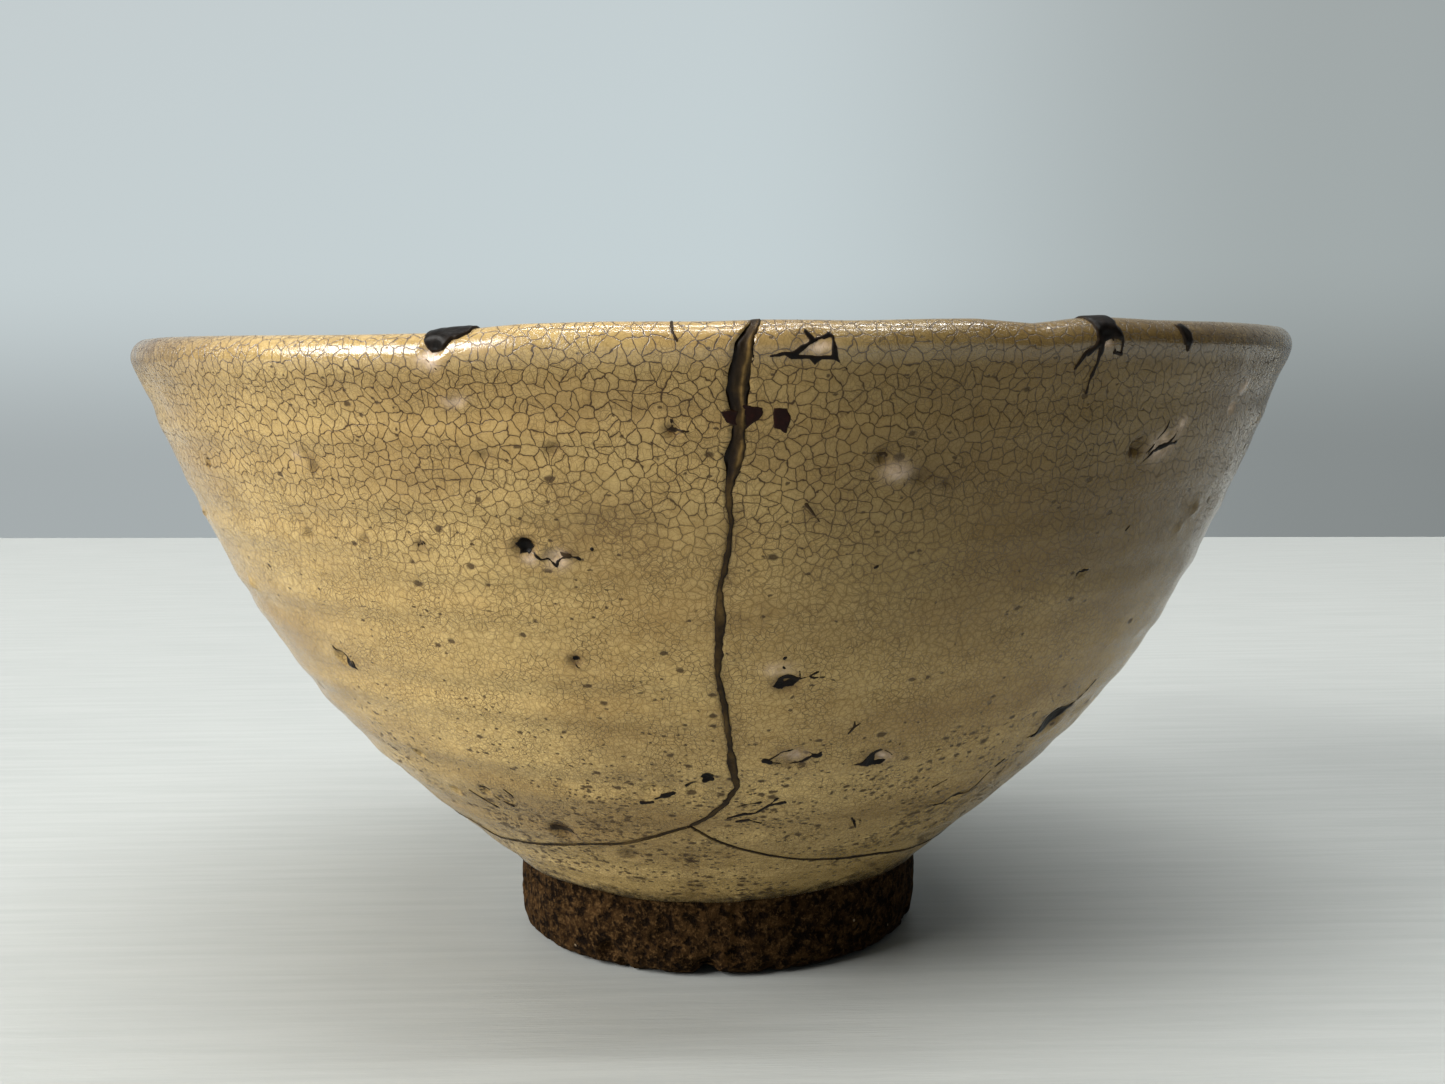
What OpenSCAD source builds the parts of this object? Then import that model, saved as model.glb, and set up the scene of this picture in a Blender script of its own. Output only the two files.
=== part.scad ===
// Wide conical tea bowl in glazed stoneware, broken into three sherds and mended with lacquer.
// Origin: centre of the foot's resting face. +Z is up. The front, with the main seam, faces -Y.

/* [Bowl] */
// Diameter across the rim
rim_d = 150; // [145:1:156]
// Height from the table to the top of the lip
bowl_h = 81; // [79:0.5:86]
// Angle of the outer wall from the vertical, just above the foot
flare_angle = 50.7; // [49:0.1:52]
// Angle of the outer wall from the vertical, at the lip
lip_angle = 19.9; // [17:0.1:23]
// Reach of the wall's curve from the foot, as a share of the bowl's height
foot_reach = 0.39; // [0.37:0.01:0.41]
// Reach of the wall's curve from the lip, as a share of the bowl's height
lip_reach = 0.49; // [0.46:0.01:0.52]

/* [Wall] */
// Thickness of the wall at the lip, glaze included
lip_t = 4.2; // [3.8:0.1:4.8]
// Thickness of the wall just above the foot, glaze included
base_t = 6.6; // [6:0.1:7]
// Thickness of the glaze coat
glaze_t = 0.5; // [0.3:0.1:0.8]
// Height of the inside bottom above the table
well_z = 11.6; // [11.2:0.1:12]
// Half width of the flat part of the inside bottom
well_r = 7; // [5:0.5:9]

/* [Foot] */
// Diameter of the foot ring
foot_d = 55.4; // [54:0.2:56.8]
// Height of the bare foot ring below the glaze
foot_h = 10.4; // [9.9:0.1:10.8]
// Width of the foot ring where it rests on the table
foot_ring_w = 6; // [5:0.5:8]
// Depth of the hollow inside the foot ring
recess_h = 5.6; // [5.2:0.1:6]
// Height of the blunt cone left by turning, in the middle of that hollow
nub_h = 0.8; // [0.4:0.1:1]
// Size of the worn edges of the foot ring
foot_edge = 1.4; // [0.8:0.1:2]

/* [Mending] */
// Width of the lacquer in the ring break above the foot
ring_seam_w = 0.8; // [0.6:0.1:1.2]
// Width of the lacquer in the back break
back_seam_w = 1; // [0.8:0.1:1.6]
// Width of the front seam, as a share of its usual width
front_seam_scale = 1; // [0.8:0.05:1.2]
// Depth of the lacquer in surface cracks, patches and burst pits
inlay_depth = 1.1; // [0.9:0.1:1.5]

/* [Hidden] */

clay_brown = "#5a4030";
glaze_ochre = "#c0a468";
lacquer_olive = "#4a3a1c";
lacquer_black = "#1b1511";
lacquer_red = "#3a1610";

rim_r = rim_d / 2;
foot_r = foot_d / 2;
lip_r = lip_t / 2;
recess_r = foot_r - foot_ring_w;
reach = rim_d;     // longer than any cut needs to be
wall_steps = 16;   // straight stretches up each side of the wall
lip_steps = 8;     // stretches round the lip
well_steps = 6;    // stretches from the wall to the flat of the well
$fn = 96;

// ---- The bowl's section: points are [radius, height] ----

function along(angle, length) = length * [sin(angle), cos(angle)];
function flip(list) = [for (i = [len(list) - 1:-1:0]) list[i]];
function bezier(p, t) =
    pow(1 - t, 3) * p[0] + 3 * pow(1 - t, 2) * t * p[1] + 3 * (1 - t) * t * t * p[2] + pow(t, 3) * p[3];
function bezier_slope(p, t) =
    pow(1 - t, 2) * (p[1] - p[0]) + 2 * (1 - t) * t * (p[2] - p[1]) + t * t * (p[3] - p[2]);
function outward(v) = [v[1], -v[0]] / norm(v);

foot_top = [foot_r, foot_h];
lip_c = [rim_r - lip_r, bowl_h - lip_r];
wall_top = lip_c + lip_r * [cos(lip_angle), -sin(lip_angle)];
wall = [
    foot_top,
    foot_top + along(flare_angle, foot_reach * bowl_h),
    wall_top - along(lip_angle, lip_reach * bowl_h),
    wall_top
];

// inset is how deep a line lies below the glaze's surface
function wall_t(t) = base_t + (lip_t - base_t) * t;
function outer_point(t, inset) = bezier(wall, t) - inset * outward(bezier_slope(wall, t));
function inner_point(t, inset) = outer_point(t, wall_t(t) - inset);
function lip_point(angle, inset) = lip_c + (lip_r - inset) * [cos(angle), sin(angle)];

// The well leaves the wall's inner side in line with it, and ends flat in the middle
well_top = inner_point(0, 0);
well_drop = well_top[1] - well_z;
function well_curve(inset) = [
    inner_point(0, inset),
    inner_point(0, inset) - along(flare_angle, 0.8 * well_drop / cos(flare_angle)),
    [(well_top[0] + well_r) / 2, well_z - inset],
    [well_r, well_z - inset]
];

// The glazed surface in one line: up the outside, over the lip, down the inside, across the well
function glazed_line(inset) = concat(
    [for (i = [0:wall_steps]) outer_point(i / wall_steps, inset)],
    [for (i = [1:lip_steps - 1]) lip_point(180 * i / lip_steps - lip_angle, inset)],
    [for (i = [wall_steps:-1:0]) inner_point(i / wall_steps, inset)],
    [for (i = [1:well_steps]) bezier(well_curve(inset), i / well_steps)],
    [[0, well_z - inset]]
);

// The bare foot, from the middle of its hollow to below the glaze
foot_line = [
    [0, recess_h - nub_h],
    [recess_r / 2, recess_h],
    [recess_r - foot_edge, recess_h],
    [recess_r - foot_edge / 2, foot_edge / 2],
    [recess_r, 0],
    [foot_r - foot_edge, 0],
    [foot_r, foot_edge]
];

module full_bowl() {
    rotate_extrude() polygon(concat(foot_line, glazed_line(0)));
}

module clay_bowl() {
    rotate_extrude() polygon(concat(foot_line, [foot_top], glazed_line(glaze_t)));
}

module glaze_coat() {
    rotate_extrude() polygon(concat(glazed_line(0), flip(glazed_line(glaze_t))));
}

// The outer side and half of the lip, as deep as the lacquer inlays go
function outer_line(inset) = concat(
    [for (i = [0:wall_steps]) outer_point(i / wall_steps, inset)],
    [for (i = [1:lip_steps / 2]) lip_point(180 * i / lip_steps - lip_angle, inset)]
);
module outer_skin() {
    rotate_extrude() polygon(concat(outer_line(0), flip(outer_line(inlay_depth))));
}

// ---- The breaks, as lines on a plane seen from the front: points are [x, height] ----

junction = [-3.2, 24.6];
ring_left = [
    [-reach, 20.5], [-31.5, 19.8], [-27.5, 17.8], [-21.5, 19], [-16, 20.6], [-11, 21.6], [-7, 23], junction
];
ring_right = [
    junction, [-1, 22.8], [2.5, 20.7], [6, 19.3], [10, 17.9], [14, 17.1], [20, 16.4], [25, 15], [reach, 14.2]
];
ring = concat(ring_left, [for (i = [1:len(ring_right) - 1]) ring_right[i]]);

// Each entry is a height, the crack's middle and its width there
front_crack = [
    [junction[1] - 2, -3.4, 1], [26.4, -0.8, 1], [28.5, 0.9, 1.1], [30.8, 2.2, 0.9], [34.1, 1.6, 1.4],
    [36.2, 1.5, 0.8], [41.6, 0.9, 1.1], [45.6, 0.2, 0.8], [51.6, 0.5, 1.3], [55.3, 0.5, 0.8],
    [58, 1.2, 0.9], [62, 1.7, 0.6], [64.5, 1.4, 0.9], [66.3, 1.6, 1.4], [68.2, 2, 2.4],
    [71.7, 2.5, 1.4], [74.6, 2.4, 2.7], [76.8, 2.7, 2.5], [78.9, 3, 2.1], [81, 4.2, 1.3], [90, 6, 1.3]
];
back_crack = [
    [junction[1] - 2, -3.2, back_seam_w], [33, 1, back_seam_w], [44, -2, back_seam_w],
    [55, 2.5, back_seam_w], [66, 0.5, back_seam_w], [75, 4, 1.3 * back_seam_w], [90, 6, 1.5 * back_seam_w]
];

// A crack's side, as points: side is -1 on its left and 1 on its right
function crack_side(crack, scale, side) = [for (c = crack) [c[1] + side * scale * c[2] / 2, c[0]]];
function shifted(line, dz) = [for (p = line) p + [0, dz]];

module crack_strip(crack, scale) {
    polygon(concat(crack_side(crack, scale, -1), flip(crack_side(crack, scale, 1))));
}

// Everything on one side of a crack, with the crack itself
module beyond_crack(crack, scale, side) {
    edge = crack_side(crack, scale, -side);
    top = edge[len(edge) - 1][1];
    polygon(concat(edge, [[side * reach, top], [side * reach, 0], [edge[0][0], 0]]));
}

module ring_strip(line) {
    polygon(concat(shifted(line, ring_seam_w / 2), flip(shifted(line, -ring_seam_w / 2))));
}

module below_ring() {
    polygon(concat(shifted(ring, ring_seam_w / 2), [[reach, -reach], [-reach, -reach]]));
}

module above_ring() {
    polygon(concat(shifted(ring, -ring_seam_w / 2), [[reach, reach], [-reach, reach]]));
}

// Cuts a flat shape through the bowl between two depths, measured along Y
module through(from_y, to_y) {
    rotate([90, 0, 0]) translate([0, 0, -to_y]) linear_extrude(to_y - from_y) children();
}

module front() through(-reach, 0) children();
module back() through(0, reach) children();
module all_through() through(-reach, reach) children();

// ---- Chips, cracks and pits: outlines are [distance round the wall, height] ----

// Turns a flat shape to face outwards at an angle from the front, and runs it through the wall there
module facing(angle) rotate([0, 0, angle]) through(-reach, -rim_r / 5) children();

left_chip_angle = -19.8;
left_chip = [
    [-2, 90], [-2, 80.2], [-1.2, 79.1], [0.2, 79.4], [1.2, 80.1], [2.6, 80.6], [2.8, 90]
];
right_chip_angle = 31.2;
right_chip = [
    [-2.2, 90], [-1.6, 80.4], [-1.5, 78.9], [-2.9, 77.6], [-2.5, 77.3], [-1.4, 78.1], [-1.1, 76.4],
    [-1.2, 74.5], [-0.8, 76.4], [-0.8, 78.5], [0.2, 79.4], [1.4, 78.8], [1.9, 77.6], [1.8, 79.2],
    [0.6, 80.4], [0.4, 90]
];
small_chip_angle = 40.1;
small_chip = [
    [-1.2, 80.4], [-0.2, 80.4], [0.7, 79.7], [0.8, 78.9], [0.1, 77.9], [-0.5, 78.7], [-0.8, 79.8]
];
star_angle = 7.1;
star_outside = [
    [-2.9, 78], [-2, 77.4], [-0.3, 77.4], [0.2, 76.9], [0.8, 77.4], [2, 77.4], [2.8, 76.8], [2.3, 77.9],
    [2, 79.6], [1.4, 80], [0.2, 79.4], [-0.7, 80.3], [-1, 80], [-0.4, 79.1], [-1.9, 78.2]
];
star_inside = [[-1, 77.9], [0.4, 77.8], [1.5, 77.9], [1.4, 79.2], [0.5, 78.9]];
patches = [
    [[0.3, 72.9], [2.4, 72.6], [2.4, 71.2], [1.2, 71.6]],
    [[2.6, 73.3], [4.8, 72.9], [4.6, 72.1], [2.9, 70.8]],
    [[5.6, 72.9], [7, 72.9], [7.4, 72], [6.9, 70.5], [5.6, 71]]
];
// Each burst pit's angle from the front, height above the table, width, height and tilt
bursts = [
    [-16, 59.5, 2.2, 1.9, -20],
    [-44.5, 44, 2.4, 1.3, -50],
    [7, 44.4, 3.2, 1.6, 15],
    [19.6, 33.8, 4.3, 2.1, 5],
    [48, 35, 7, 2.4, 35],
    [39.5, 25.1, 3.2, 1, 20],
    [37.9, 68, 3, 1.5, 55]
];

// A pit with pointed ends
module burst_outline(width, height) {
    half = width / 2;
    polygon([
        [-half, -0.1 * height], [-0.45 * half, 0.4 * height], [0.2 * half, 0.5 * height],
        [half, 0.1 * height], [0.4 * half, -0.45 * height], [-0.4 * half, -0.5 * height]
    ]);
}

module burst_cut(b) {
    facing(b[0]) translate([0, b[1]]) rotate(b[4]) burst_outline(b[2], b[3]);
}

module star_cut() {
    facing(star_angle) difference() {
        polygon(star_outside);
        polygon(star_inside);
    }
}

module patch_cuts() {
    for (p = patches) front() polygon(p);
}

// Keeps the part of a cut that lies just under the outer surface
module inlaid() {
    intersection() {
        outer_skin();
        children();
    }
}

module small_chip_cut() facing(small_chip_angle) polygon(small_chip);
module left_chip_cut() facing(left_chip_angle) polygon(left_chip);
module right_chip_cut() facing(right_chip_angle) polygon(right_chip);

// ---- What each sherd loses to the breaks, the chips and the pits ----

module left_side_losses() {
    front() beyond_crack(front_crack, front_seam_scale, 1);
    back() beyond_crack(back_crack, 1, 1);
    all_through() below_ring();
    left_chip_cut();
    inlaid() {
        patch_cuts();
        for (b = bursts) if (b[0] < 0) burst_cut(b);
    }
}

module right_side_losses() {
    front() beyond_crack(front_crack, front_seam_scale, -1);
    back() beyond_crack(back_crack, 1, -1);
    all_through() below_ring();
    right_chip_cut();
    inlaid() {
        patch_cuts();
        star_cut();
        small_chip_cut();
        for (b = bursts) if (b[0] > 0) burst_cut(b);
    }
}

// ---- Sherds ----

module left_wall() color(clay_brown) difference() {
    clay_bowl();
    left_side_losses();
}

module right_wall() color(clay_brown) difference() {
    clay_bowl();
    right_side_losses();
}

module foot_base() color(clay_brown) difference() {
    clay_bowl();
    all_through() above_ring();
}

// ---- Glaze coats ----

module left_wall_glaze() color(glaze_ochre) difference() {
    glaze_coat();
    left_side_losses();
}

module right_wall_glaze() color(glaze_ochre) difference() {
    glaze_coat();
    right_side_losses();
}

// A cone that opens upward through the clay, between the outside glaze and the well's glaze
module well_space() {
    foot_gap = 2;
    low_r = well_top[0] + foot_gap;
    high_r = low_r + reach * tan(flare_angle);
    translate([0, 0, well_z - 2 * glaze_t]) cylinder(h = reach, r1 = low_r, r2 = high_r);
}

module foot_base_glaze() color(glaze_ochre) difference() {
    glaze_coat();
    all_through() above_ring();
    well_space();
}

module well_glaze() color(glaze_ochre) intersection() {
    difference() {
        glaze_coat();
        all_through() above_ring();
    }
    well_space();
}

// ---- Lacquer seams ----

module front_seam() color(lacquer_olive) difference() {
    intersection() {
        full_bowl();
        front() crack_strip(front_crack, front_seam_scale);
    }
    all_through() below_ring();
}

module back_seam() color(lacquer_olive) difference() {
    intersection() {
        full_bowl();
        back() crack_strip(back_crack, 1);
    }
    all_through() below_ring();
}

module left_ring_seam() color(lacquer_olive) intersection() {
    full_bowl();
    all_through() ring_strip(ring_left);
}

module right_ring_seam() color(lacquer_olive) intersection() {
    full_bowl();
    all_through() ring_strip(ring_right);
}

// ---- Lacquer fills ----

module left_rim_fill() color(lacquer_black) intersection() {
    full_bowl();
    left_chip_cut();
}

module right_rim_fill() color(lacquer_black) intersection() {
    full_bowl();
    right_chip_cut();
}

module small_rim_fill() color(lacquer_black) inlaid() small_chip_cut();

module star_crack_fill() color(lacquer_black) inlaid() star_cut();

module seam_patches() color(lacquer_red) difference() {
    inlaid() patch_cuts();
    front() crack_strip(front_crack, front_seam_scale);
}

module burst_fills() color(lacquer_black) inlaid() for (b = bursts) burst_cut(b);

left_wall();
right_wall();
foot_base();
left_wall_glaze();
right_wall_glaze();
foot_base_glaze();
well_glaze();
front_seam();
back_seam();
left_ring_seam();
right_ring_seam();
left_rim_fill();
right_rim_fill();
small_rim_fill();
star_crack_fill();
seam_patches();
burst_fills();
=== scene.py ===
# %% [markdown]
# # A mended tea bowl
#
# A wide conical tea bowl, thrown in dark stoneware, glazed in ochre, crackled all over, and later
# broken into three sherds that were glued back together with dark lacquer. The measured bowl comes
# from CAD. This lesson gives it its handmade surface and its finishes.

# %% Load the measured bowl
import math

import bpy
import numpy as np
from mathutils import Matrix, Vector


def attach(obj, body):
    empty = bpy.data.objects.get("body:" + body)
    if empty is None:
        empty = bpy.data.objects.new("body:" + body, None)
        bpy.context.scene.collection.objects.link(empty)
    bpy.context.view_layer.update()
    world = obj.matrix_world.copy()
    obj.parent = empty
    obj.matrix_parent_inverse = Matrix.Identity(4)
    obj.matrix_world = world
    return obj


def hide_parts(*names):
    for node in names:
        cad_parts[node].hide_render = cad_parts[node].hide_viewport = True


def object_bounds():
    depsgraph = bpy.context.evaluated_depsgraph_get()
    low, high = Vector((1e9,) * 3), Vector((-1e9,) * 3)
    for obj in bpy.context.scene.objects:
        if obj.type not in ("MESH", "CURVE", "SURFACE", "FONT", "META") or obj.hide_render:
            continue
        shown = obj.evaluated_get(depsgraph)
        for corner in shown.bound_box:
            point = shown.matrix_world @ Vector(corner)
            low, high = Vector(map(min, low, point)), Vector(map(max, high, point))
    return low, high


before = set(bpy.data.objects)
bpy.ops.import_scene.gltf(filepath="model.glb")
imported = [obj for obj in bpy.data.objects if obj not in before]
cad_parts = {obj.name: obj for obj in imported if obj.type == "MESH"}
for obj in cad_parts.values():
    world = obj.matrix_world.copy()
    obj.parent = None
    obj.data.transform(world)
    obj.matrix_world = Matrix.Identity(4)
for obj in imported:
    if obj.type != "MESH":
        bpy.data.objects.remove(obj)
cad_box = [[float(v) for v in corner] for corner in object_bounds()]
print("CAD box in mm:", [[round(1000 * v, 1) for v in corner] for corner in cad_box])

# %% [markdown]
# ## The section of the bowl
#
# A thrown bowl is a line turned round an axis. Everything below is measured along that one line: up
# the outside from the foot, over the lip, down the inside and across the well. Working in
# millimetres keeps the numbers readable; meshes are turned into metres at the very end. The rim and
# the height are read from the CAD box, so that the line fits the solids; the foot, the slopes and the
# thicknesses repeat the CAD model's own dimensions.

# %% The line's main sizes
RIM_R = round(500 * (cad_box[1][0] - cad_box[0][0]), 1)
BOWL_H = round(1000 * cad_box[1][2], 1)
FLARE, LIP_SLOPE = math.radians(50.7), math.radians(19.9)
FOOT_REACH, LIP_REACH, WELL_REACH = 0.39, 0.49, 0.8
BASE_T, LIP_T = 6.6, 4.2
FOOT_R, FOOT_H = 27.7, 10.4
WELL_Z, WELL_R = 11.6, 7.0
LIP_R = LIP_T / 2
print(f"rim {2 * RIM_R} mm, height {BOWL_H} mm")

# %% The line itself, as points with outward normals
def leaning(angle, length):
    return length * np.array([math.sin(angle), math.cos(angle)])


def bezier(p, t):
    t = t[:, None]
    return (1 - t) ** 3 * p[0] + 3 * (1 - t) ** 2 * t * p[1] + 3 * (1 - t) * t * t * p[2] + t ** 3 * p[3]


lip_middle = np.array([RIM_R - LIP_R, BOWL_H - LIP_R])
wall_top = lip_middle + LIP_R * np.array([math.cos(LIP_SLOPE), -math.sin(LIP_SLOPE)])
foot_top = np.array([FOOT_R, FOOT_H])
wall = [foot_top, foot_top + leaning(FLARE, FOOT_REACH * BOWL_H),
        wall_top - leaning(LIP_SLOPE, LIP_REACH * BOWL_H), wall_top]
t = np.linspace(0, 1, 200)
outer = bezier(wall, t)
slope = np.gradient(outer, axis=0)
normal = np.stack([slope[:, 1], -slope[:, 0]], 1) / np.linalg.norm(slope, axis=1)[:, None]
inner = outer - (BASE_T + (LIP_T - BASE_T) * t)[:, None] * normal
turn = np.linspace(-LIP_SLOPE, math.pi - LIP_SLOPE, 60)[1:-1]
lip = lip_middle + LIP_R * np.stack([np.cos(turn), np.sin(turn)], 1)
drop = inner[0, 1] - WELL_Z
well_start = inner[0] - leaning(FLARE, WELL_REACH * drop / math.cos(FLARE))
well_turn, well_end = np.array([(inner[0, 0] + WELL_R) / 2, WELL_Z]), np.array([WELL_R, WELL_Z])
well = bezier([inner[0], well_start, well_turn, well_end], np.linspace(0, 1, 60))
floor_line = np.stack([np.linspace(WELL_R, 0, 20)[1:], np.full(19, WELL_Z)], 1)
line = np.concatenate([outer, lip, inner[::-1], well[1:], floor_line])
line_s = np.concatenate([[0], np.cumsum(np.linalg.norm(np.diff(line, axis=0), axis=1))])
line_d = np.gradient(line, line_s, axis=0)
line_n = np.stack([line_d[:, 1], -line_d[:, 0]], 1)
line_n /= np.linalg.norm(line_n, axis=1)[:, None]
S_WALL = line_s[len(outer) - 1]
S_LIP = line_s[np.argmax(line[:, 1])]
S_INNER = line_s[len(outer) + len(lip)]
S_END = line_s[-1]
print(f"outside {S_WALL:.1f} mm long, lip to {S_INNER:.1f}, centre of the well at {S_END:.1f}")


# %% Reading the line
def section(s):
    """Radius, height and outward normal at a distance along the line."""
    return [np.interp(s, line_s, column) for column in (line[:, 0], line[:, 1], line_n[:, 0], line_n[:, 1])]


up_to_lip = line_s <= S_LIP
down_from_lip = (line_s >= S_LIP) & (line_s <= line_s[-len(floor_line) - 1])


def outside_at(z):
    return np.interp(z, line[up_to_lip, 1], line_s[up_to_lip])


def inside_at(z):
    return np.interp(z, line[down_from_lip, 1][::-1], line_s[down_from_lip][::-1])


# %% [markdown]
# ## The potter's hand
#
# No thrown bowl is a perfect solid of revolution. The wheel leaves soft rings a few millimetres
# apart, drying and firing warp the wall by a fraction of a millimetre, and the lip waves up and
# down. Later wear adds pits where grit burst out of the clay. All of it is one function, the relief,
# that every piece reads, so that sherds, seams and fills still meet when they are moved.

# %% Smooth noise on a lattice
lattice = np.random.default_rng(11).uniform(-1, 1, (32, 32, 32))


def noise(p, size, shift=0.0):
    """Soft random hills, from -1 to 1, about size millimetres apart."""
    q = np.asarray(p) / size + shift * 5.37 + 100
    i = np.floor(q).astype(int)
    f = q - i
    f = f * f * (3 - 2 * f)
    total = 0
    for a in (0, 1):
        for b in (0, 1):
            for c in (0, 1):
                w = np.abs(1 - a - f[..., 0]) * np.abs(1 - b - f[..., 1]) * np.abs(1 - c - f[..., 2])
                total = total + w * lattice[(i[..., 0] + a) % 32, (i[..., 1] + b) % 32, (i[..., 2] + c) % 32]
    return total


def ramp(x, low, high):
    k = np.clip((x - low) / (high - low), 0, 1)
    return k * k * (3 - 2 * k)


def turned(theta, r, z):
    """A point at an angle from the front towards the right, a radius and a height."""
    return np.stack(np.broadcast_arrays(r * np.sin(theta), -r * np.cos(theta), z), -1)


def aside(theta, degrees):
    """The turn from a place at an angle in degrees, from -pi to pi."""
    return (theta - math.radians(degrees) + math.pi) % (2 * math.pi) - math.pi


def in_degrees(theta):
    return (np.degrees(theta) + 180) % 360 - 180


# %% Pits, bumps and scars: angle in degrees, height, radius, depth (negative for a bump)
SCARS = [
    (-16, 59.5, 1.3, 0.75), (-13.6, 58.6, 1.1, 0.35), (-12.3, 58.8, 0.9, -0.15), (-3, 71, 0.9, 0.35),
    (-12.2, 69.4, 0.9, 0.3), (-18, 68.7, 0.8, 0.25), (-19.5, 74.2, 0.9, 0.2), (13, 68.2, 0.9, 0.5),
    (14.3, 66.8, 1.5, -0.32), (16.4, 66.2, 1.1, 0.3), (18.8, 65.4, 0.7, 0.25), (38.1, 68, 1.3, 0.6),
    (41.4, 68.4, 1.6, 0.3), (53.6, 60.2, 1.2, -0.4), (51.6, 58.2, 1.0, -0.25), (53.3, 74, 1.0, -0.2),
    (52.1, 71.6, 0.9, 0.25), (-53.2, 66.9, 0.7, 0.35), (-35.9, 68.8, 0.6, 0.2), (-35.4, 67, 0.8, 0.3),
    (-35.2, 65.5, 0.5, 0.2), (-30.7, 74, 0.6, 0.2), (-40, 59.5, 0.9, 0.35), (-32.3, 59.6, 0.7, 0.3),
    (-26.2, 59.3, 0.7, 0.3), (-45, 44.6, 1.2, 0.5), (-13.6, 47.1, 0.8, 0.45), (7, 44.4, 1.7, 0.5),
    (6.2, 46.2, 1.6, -0.15), (8.7, 34.9, 1.9, 0.45), (8.3, 35.1, 0.9, -0.35), (19.8, 33.9, 1.7, 0.55),
    (48, 35, 2.2, 0.45), (39.5, 25.1, 1.4, 0.4), (21.7, 23.8, 0.7, 0.45), (-26, 22.6, 1.8, 0.45),
    (-43.7, 32, 0.9, 0.3), (-43.1, 26.6, 1.0, 0.3), (-35.2, 27.9, 1.0, 0.35), (36.9, 54.4, 0.7, 0.35),
    (-1.2, 32.5, 0.9, 0.4), (-2.8, 31, 1.0, 0.4), (-20.5, 79.4, 1.3, 0.45), (-15.5, 19.4, 1.5, 0.4),
    (31, 79, 1.2, 0.35), (7.1, 78.8, 2.2, 0.25), (-8.5, 30.6, 1.0, 0.3), (12, 22.4, 1.0, 0.3),
    (-59, 52, 1.1, -0.35), (-66, 60, 0.8, -0.3), (-70, 44, 1.0, 0.3), (64, 70, 0.9, -0.25),
    (70, 52, 1.0, 0.35), (103, 62, 1.2, 0.4), (128, 45, 1.4, 0.45), (151, 70, 1.0, 0.35),
    (172, 33, 1.3, 0.4), (-155, 66, 1.2, 0.4), (-131, 38, 1.5, 0.45), (-118, 71, 0.9, -0.3),
    (-101, 28, 1.2, 0.4), (-96, 55, 0.8, 0.3),
]


def scars(theta, z):
    total = 0
    for degrees, height, radius, depth in SCARS:
        r = float(section(outside_at(height))[0])
        far = np.hypot(aside(theta, degrees) * r, (z - height) * 1.25)
        total = total - depth * np.exp(-((far / (0.75 * radius)) ** 3)) \
            + 0.16 * abs(depth) * np.exp(-(((far - 1.25 * radius) / (0.45 * radius)) ** 2))
    return total


# %% The relief: how far the surface stands off the CAD line
RIM_WAVE = np.array([
    (-180, 0), (-150, -0.2), (-120, 0.1), (-90, -0.1), (-60, -0.1), (-40, -0.35), (-30, -0.55),
    (-20, -0.6), (-17.5, -0.2), (-14, 0.1), (-8, 0.2), (0, 0.1), (4, 0.2), (10, 0.05), (20, 0.15),
    (25, -0.25), (29, 0.2), (33, 0.3), (38, 0.05), (60, -0.15), (90, -0.3), (130, 0.1), (180, 0),
])


def relief(theta, s):
    r, z, _, _ = section(s)
    p = turned(theta, r, z)
    outside = ramp(s, S_INNER - 2, S_INNER - 5)
    drift = 2.2 * noise(p, 38, 1)
    rings = 0.1 * np.sin(2 * math.pi * (z + drift) / 6.3) + 0.06 * np.sin(2 * math.pi * (z - drift) / 3.7 + 1)
    rings = rings * (0.6 + 0.5 * noise(p, 26, 2))
    lumps = 0.16 * noise(p, 11, 3) + 0.06 * noise(p, 4.2, 4) + 0.022 * noise(p, 1.7, 5)
    calm = 1 - 0.65 * np.exp(-(((s - S_LIP) / 4.0) ** 2))
    pinch = -0.28 * np.exp(-(((s - S_WALL + 5.5) / 2.6) ** 2)) * (0.7 + 0.4 * noise(p, 30, 6))
    return (rings + lumps) * calm + pinch + outside * scars(theta, z)


def out_of_round(theta, z):
    warp = 0.22 * np.sin(2 * theta + 0.8) + 0.15 * np.sin(3 * theta - 1.1) + 0.1 * np.sin(5 * theta + 2)
    return warp * ramp(z, 10, 40)


def surface(theta, s, proud=0.0):
    """The finished glaze surface, in millimetres, or proud of it."""
    r, z, nr, nz = section(s)
    off = relief(theta, s) + proud
    wave = np.interp(in_degrees(theta), RIM_WAVE[:, 0], RIM_WAVE[:, 1]) * ramp(z, 62, 80)
    return turned(theta, r + off * nr + out_of_round(theta, z), z + off * nz + wave)


# %% [markdown]
# ## The breaks
#
# One break runs round the bowl a little above the foot, and two run from it to the rim, in front and
# at the back. Each is a list of points as seen from the front. The sherds stop a little short of
# these lines, under the lacquer that fills the gap.

# %% The lines of the breaks: height, place across and width; for the ring, place across and height
JUNCTION_X, JUNCTION_Z = -3.2, 24.6
FRONT = np.array([
    (22.6, -3.4, 1), (JUNCTION_Z, JUNCTION_X, 1), (26.4, -0.8, 1), (28.5, 0.9, 1.1), (30.8, 2.2, 0.9),
    (34.1, 1.6, 1.4), (36.2, 1.5, 0.8), (41.6, 0.9, 1.1), (45.6, 0.2, 0.8), (51.6, 0.5, 1.3),
    (55.3, 0.5, 0.8), (58, 1.2, 0.9), (62, 1.7, 0.6), (64.5, 1.4, 0.9), (66.3, 1.6, 1.4),
    (68.2, 2, 2.4), (71.7, 2.5, 1.4), (74.6, 2.4, 2.7), (76.8, 2.7, 2.5), (78.9, 3, 2.1),
    (81, 4.2, 1.3), (90, 6, 1.3),
])
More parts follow.
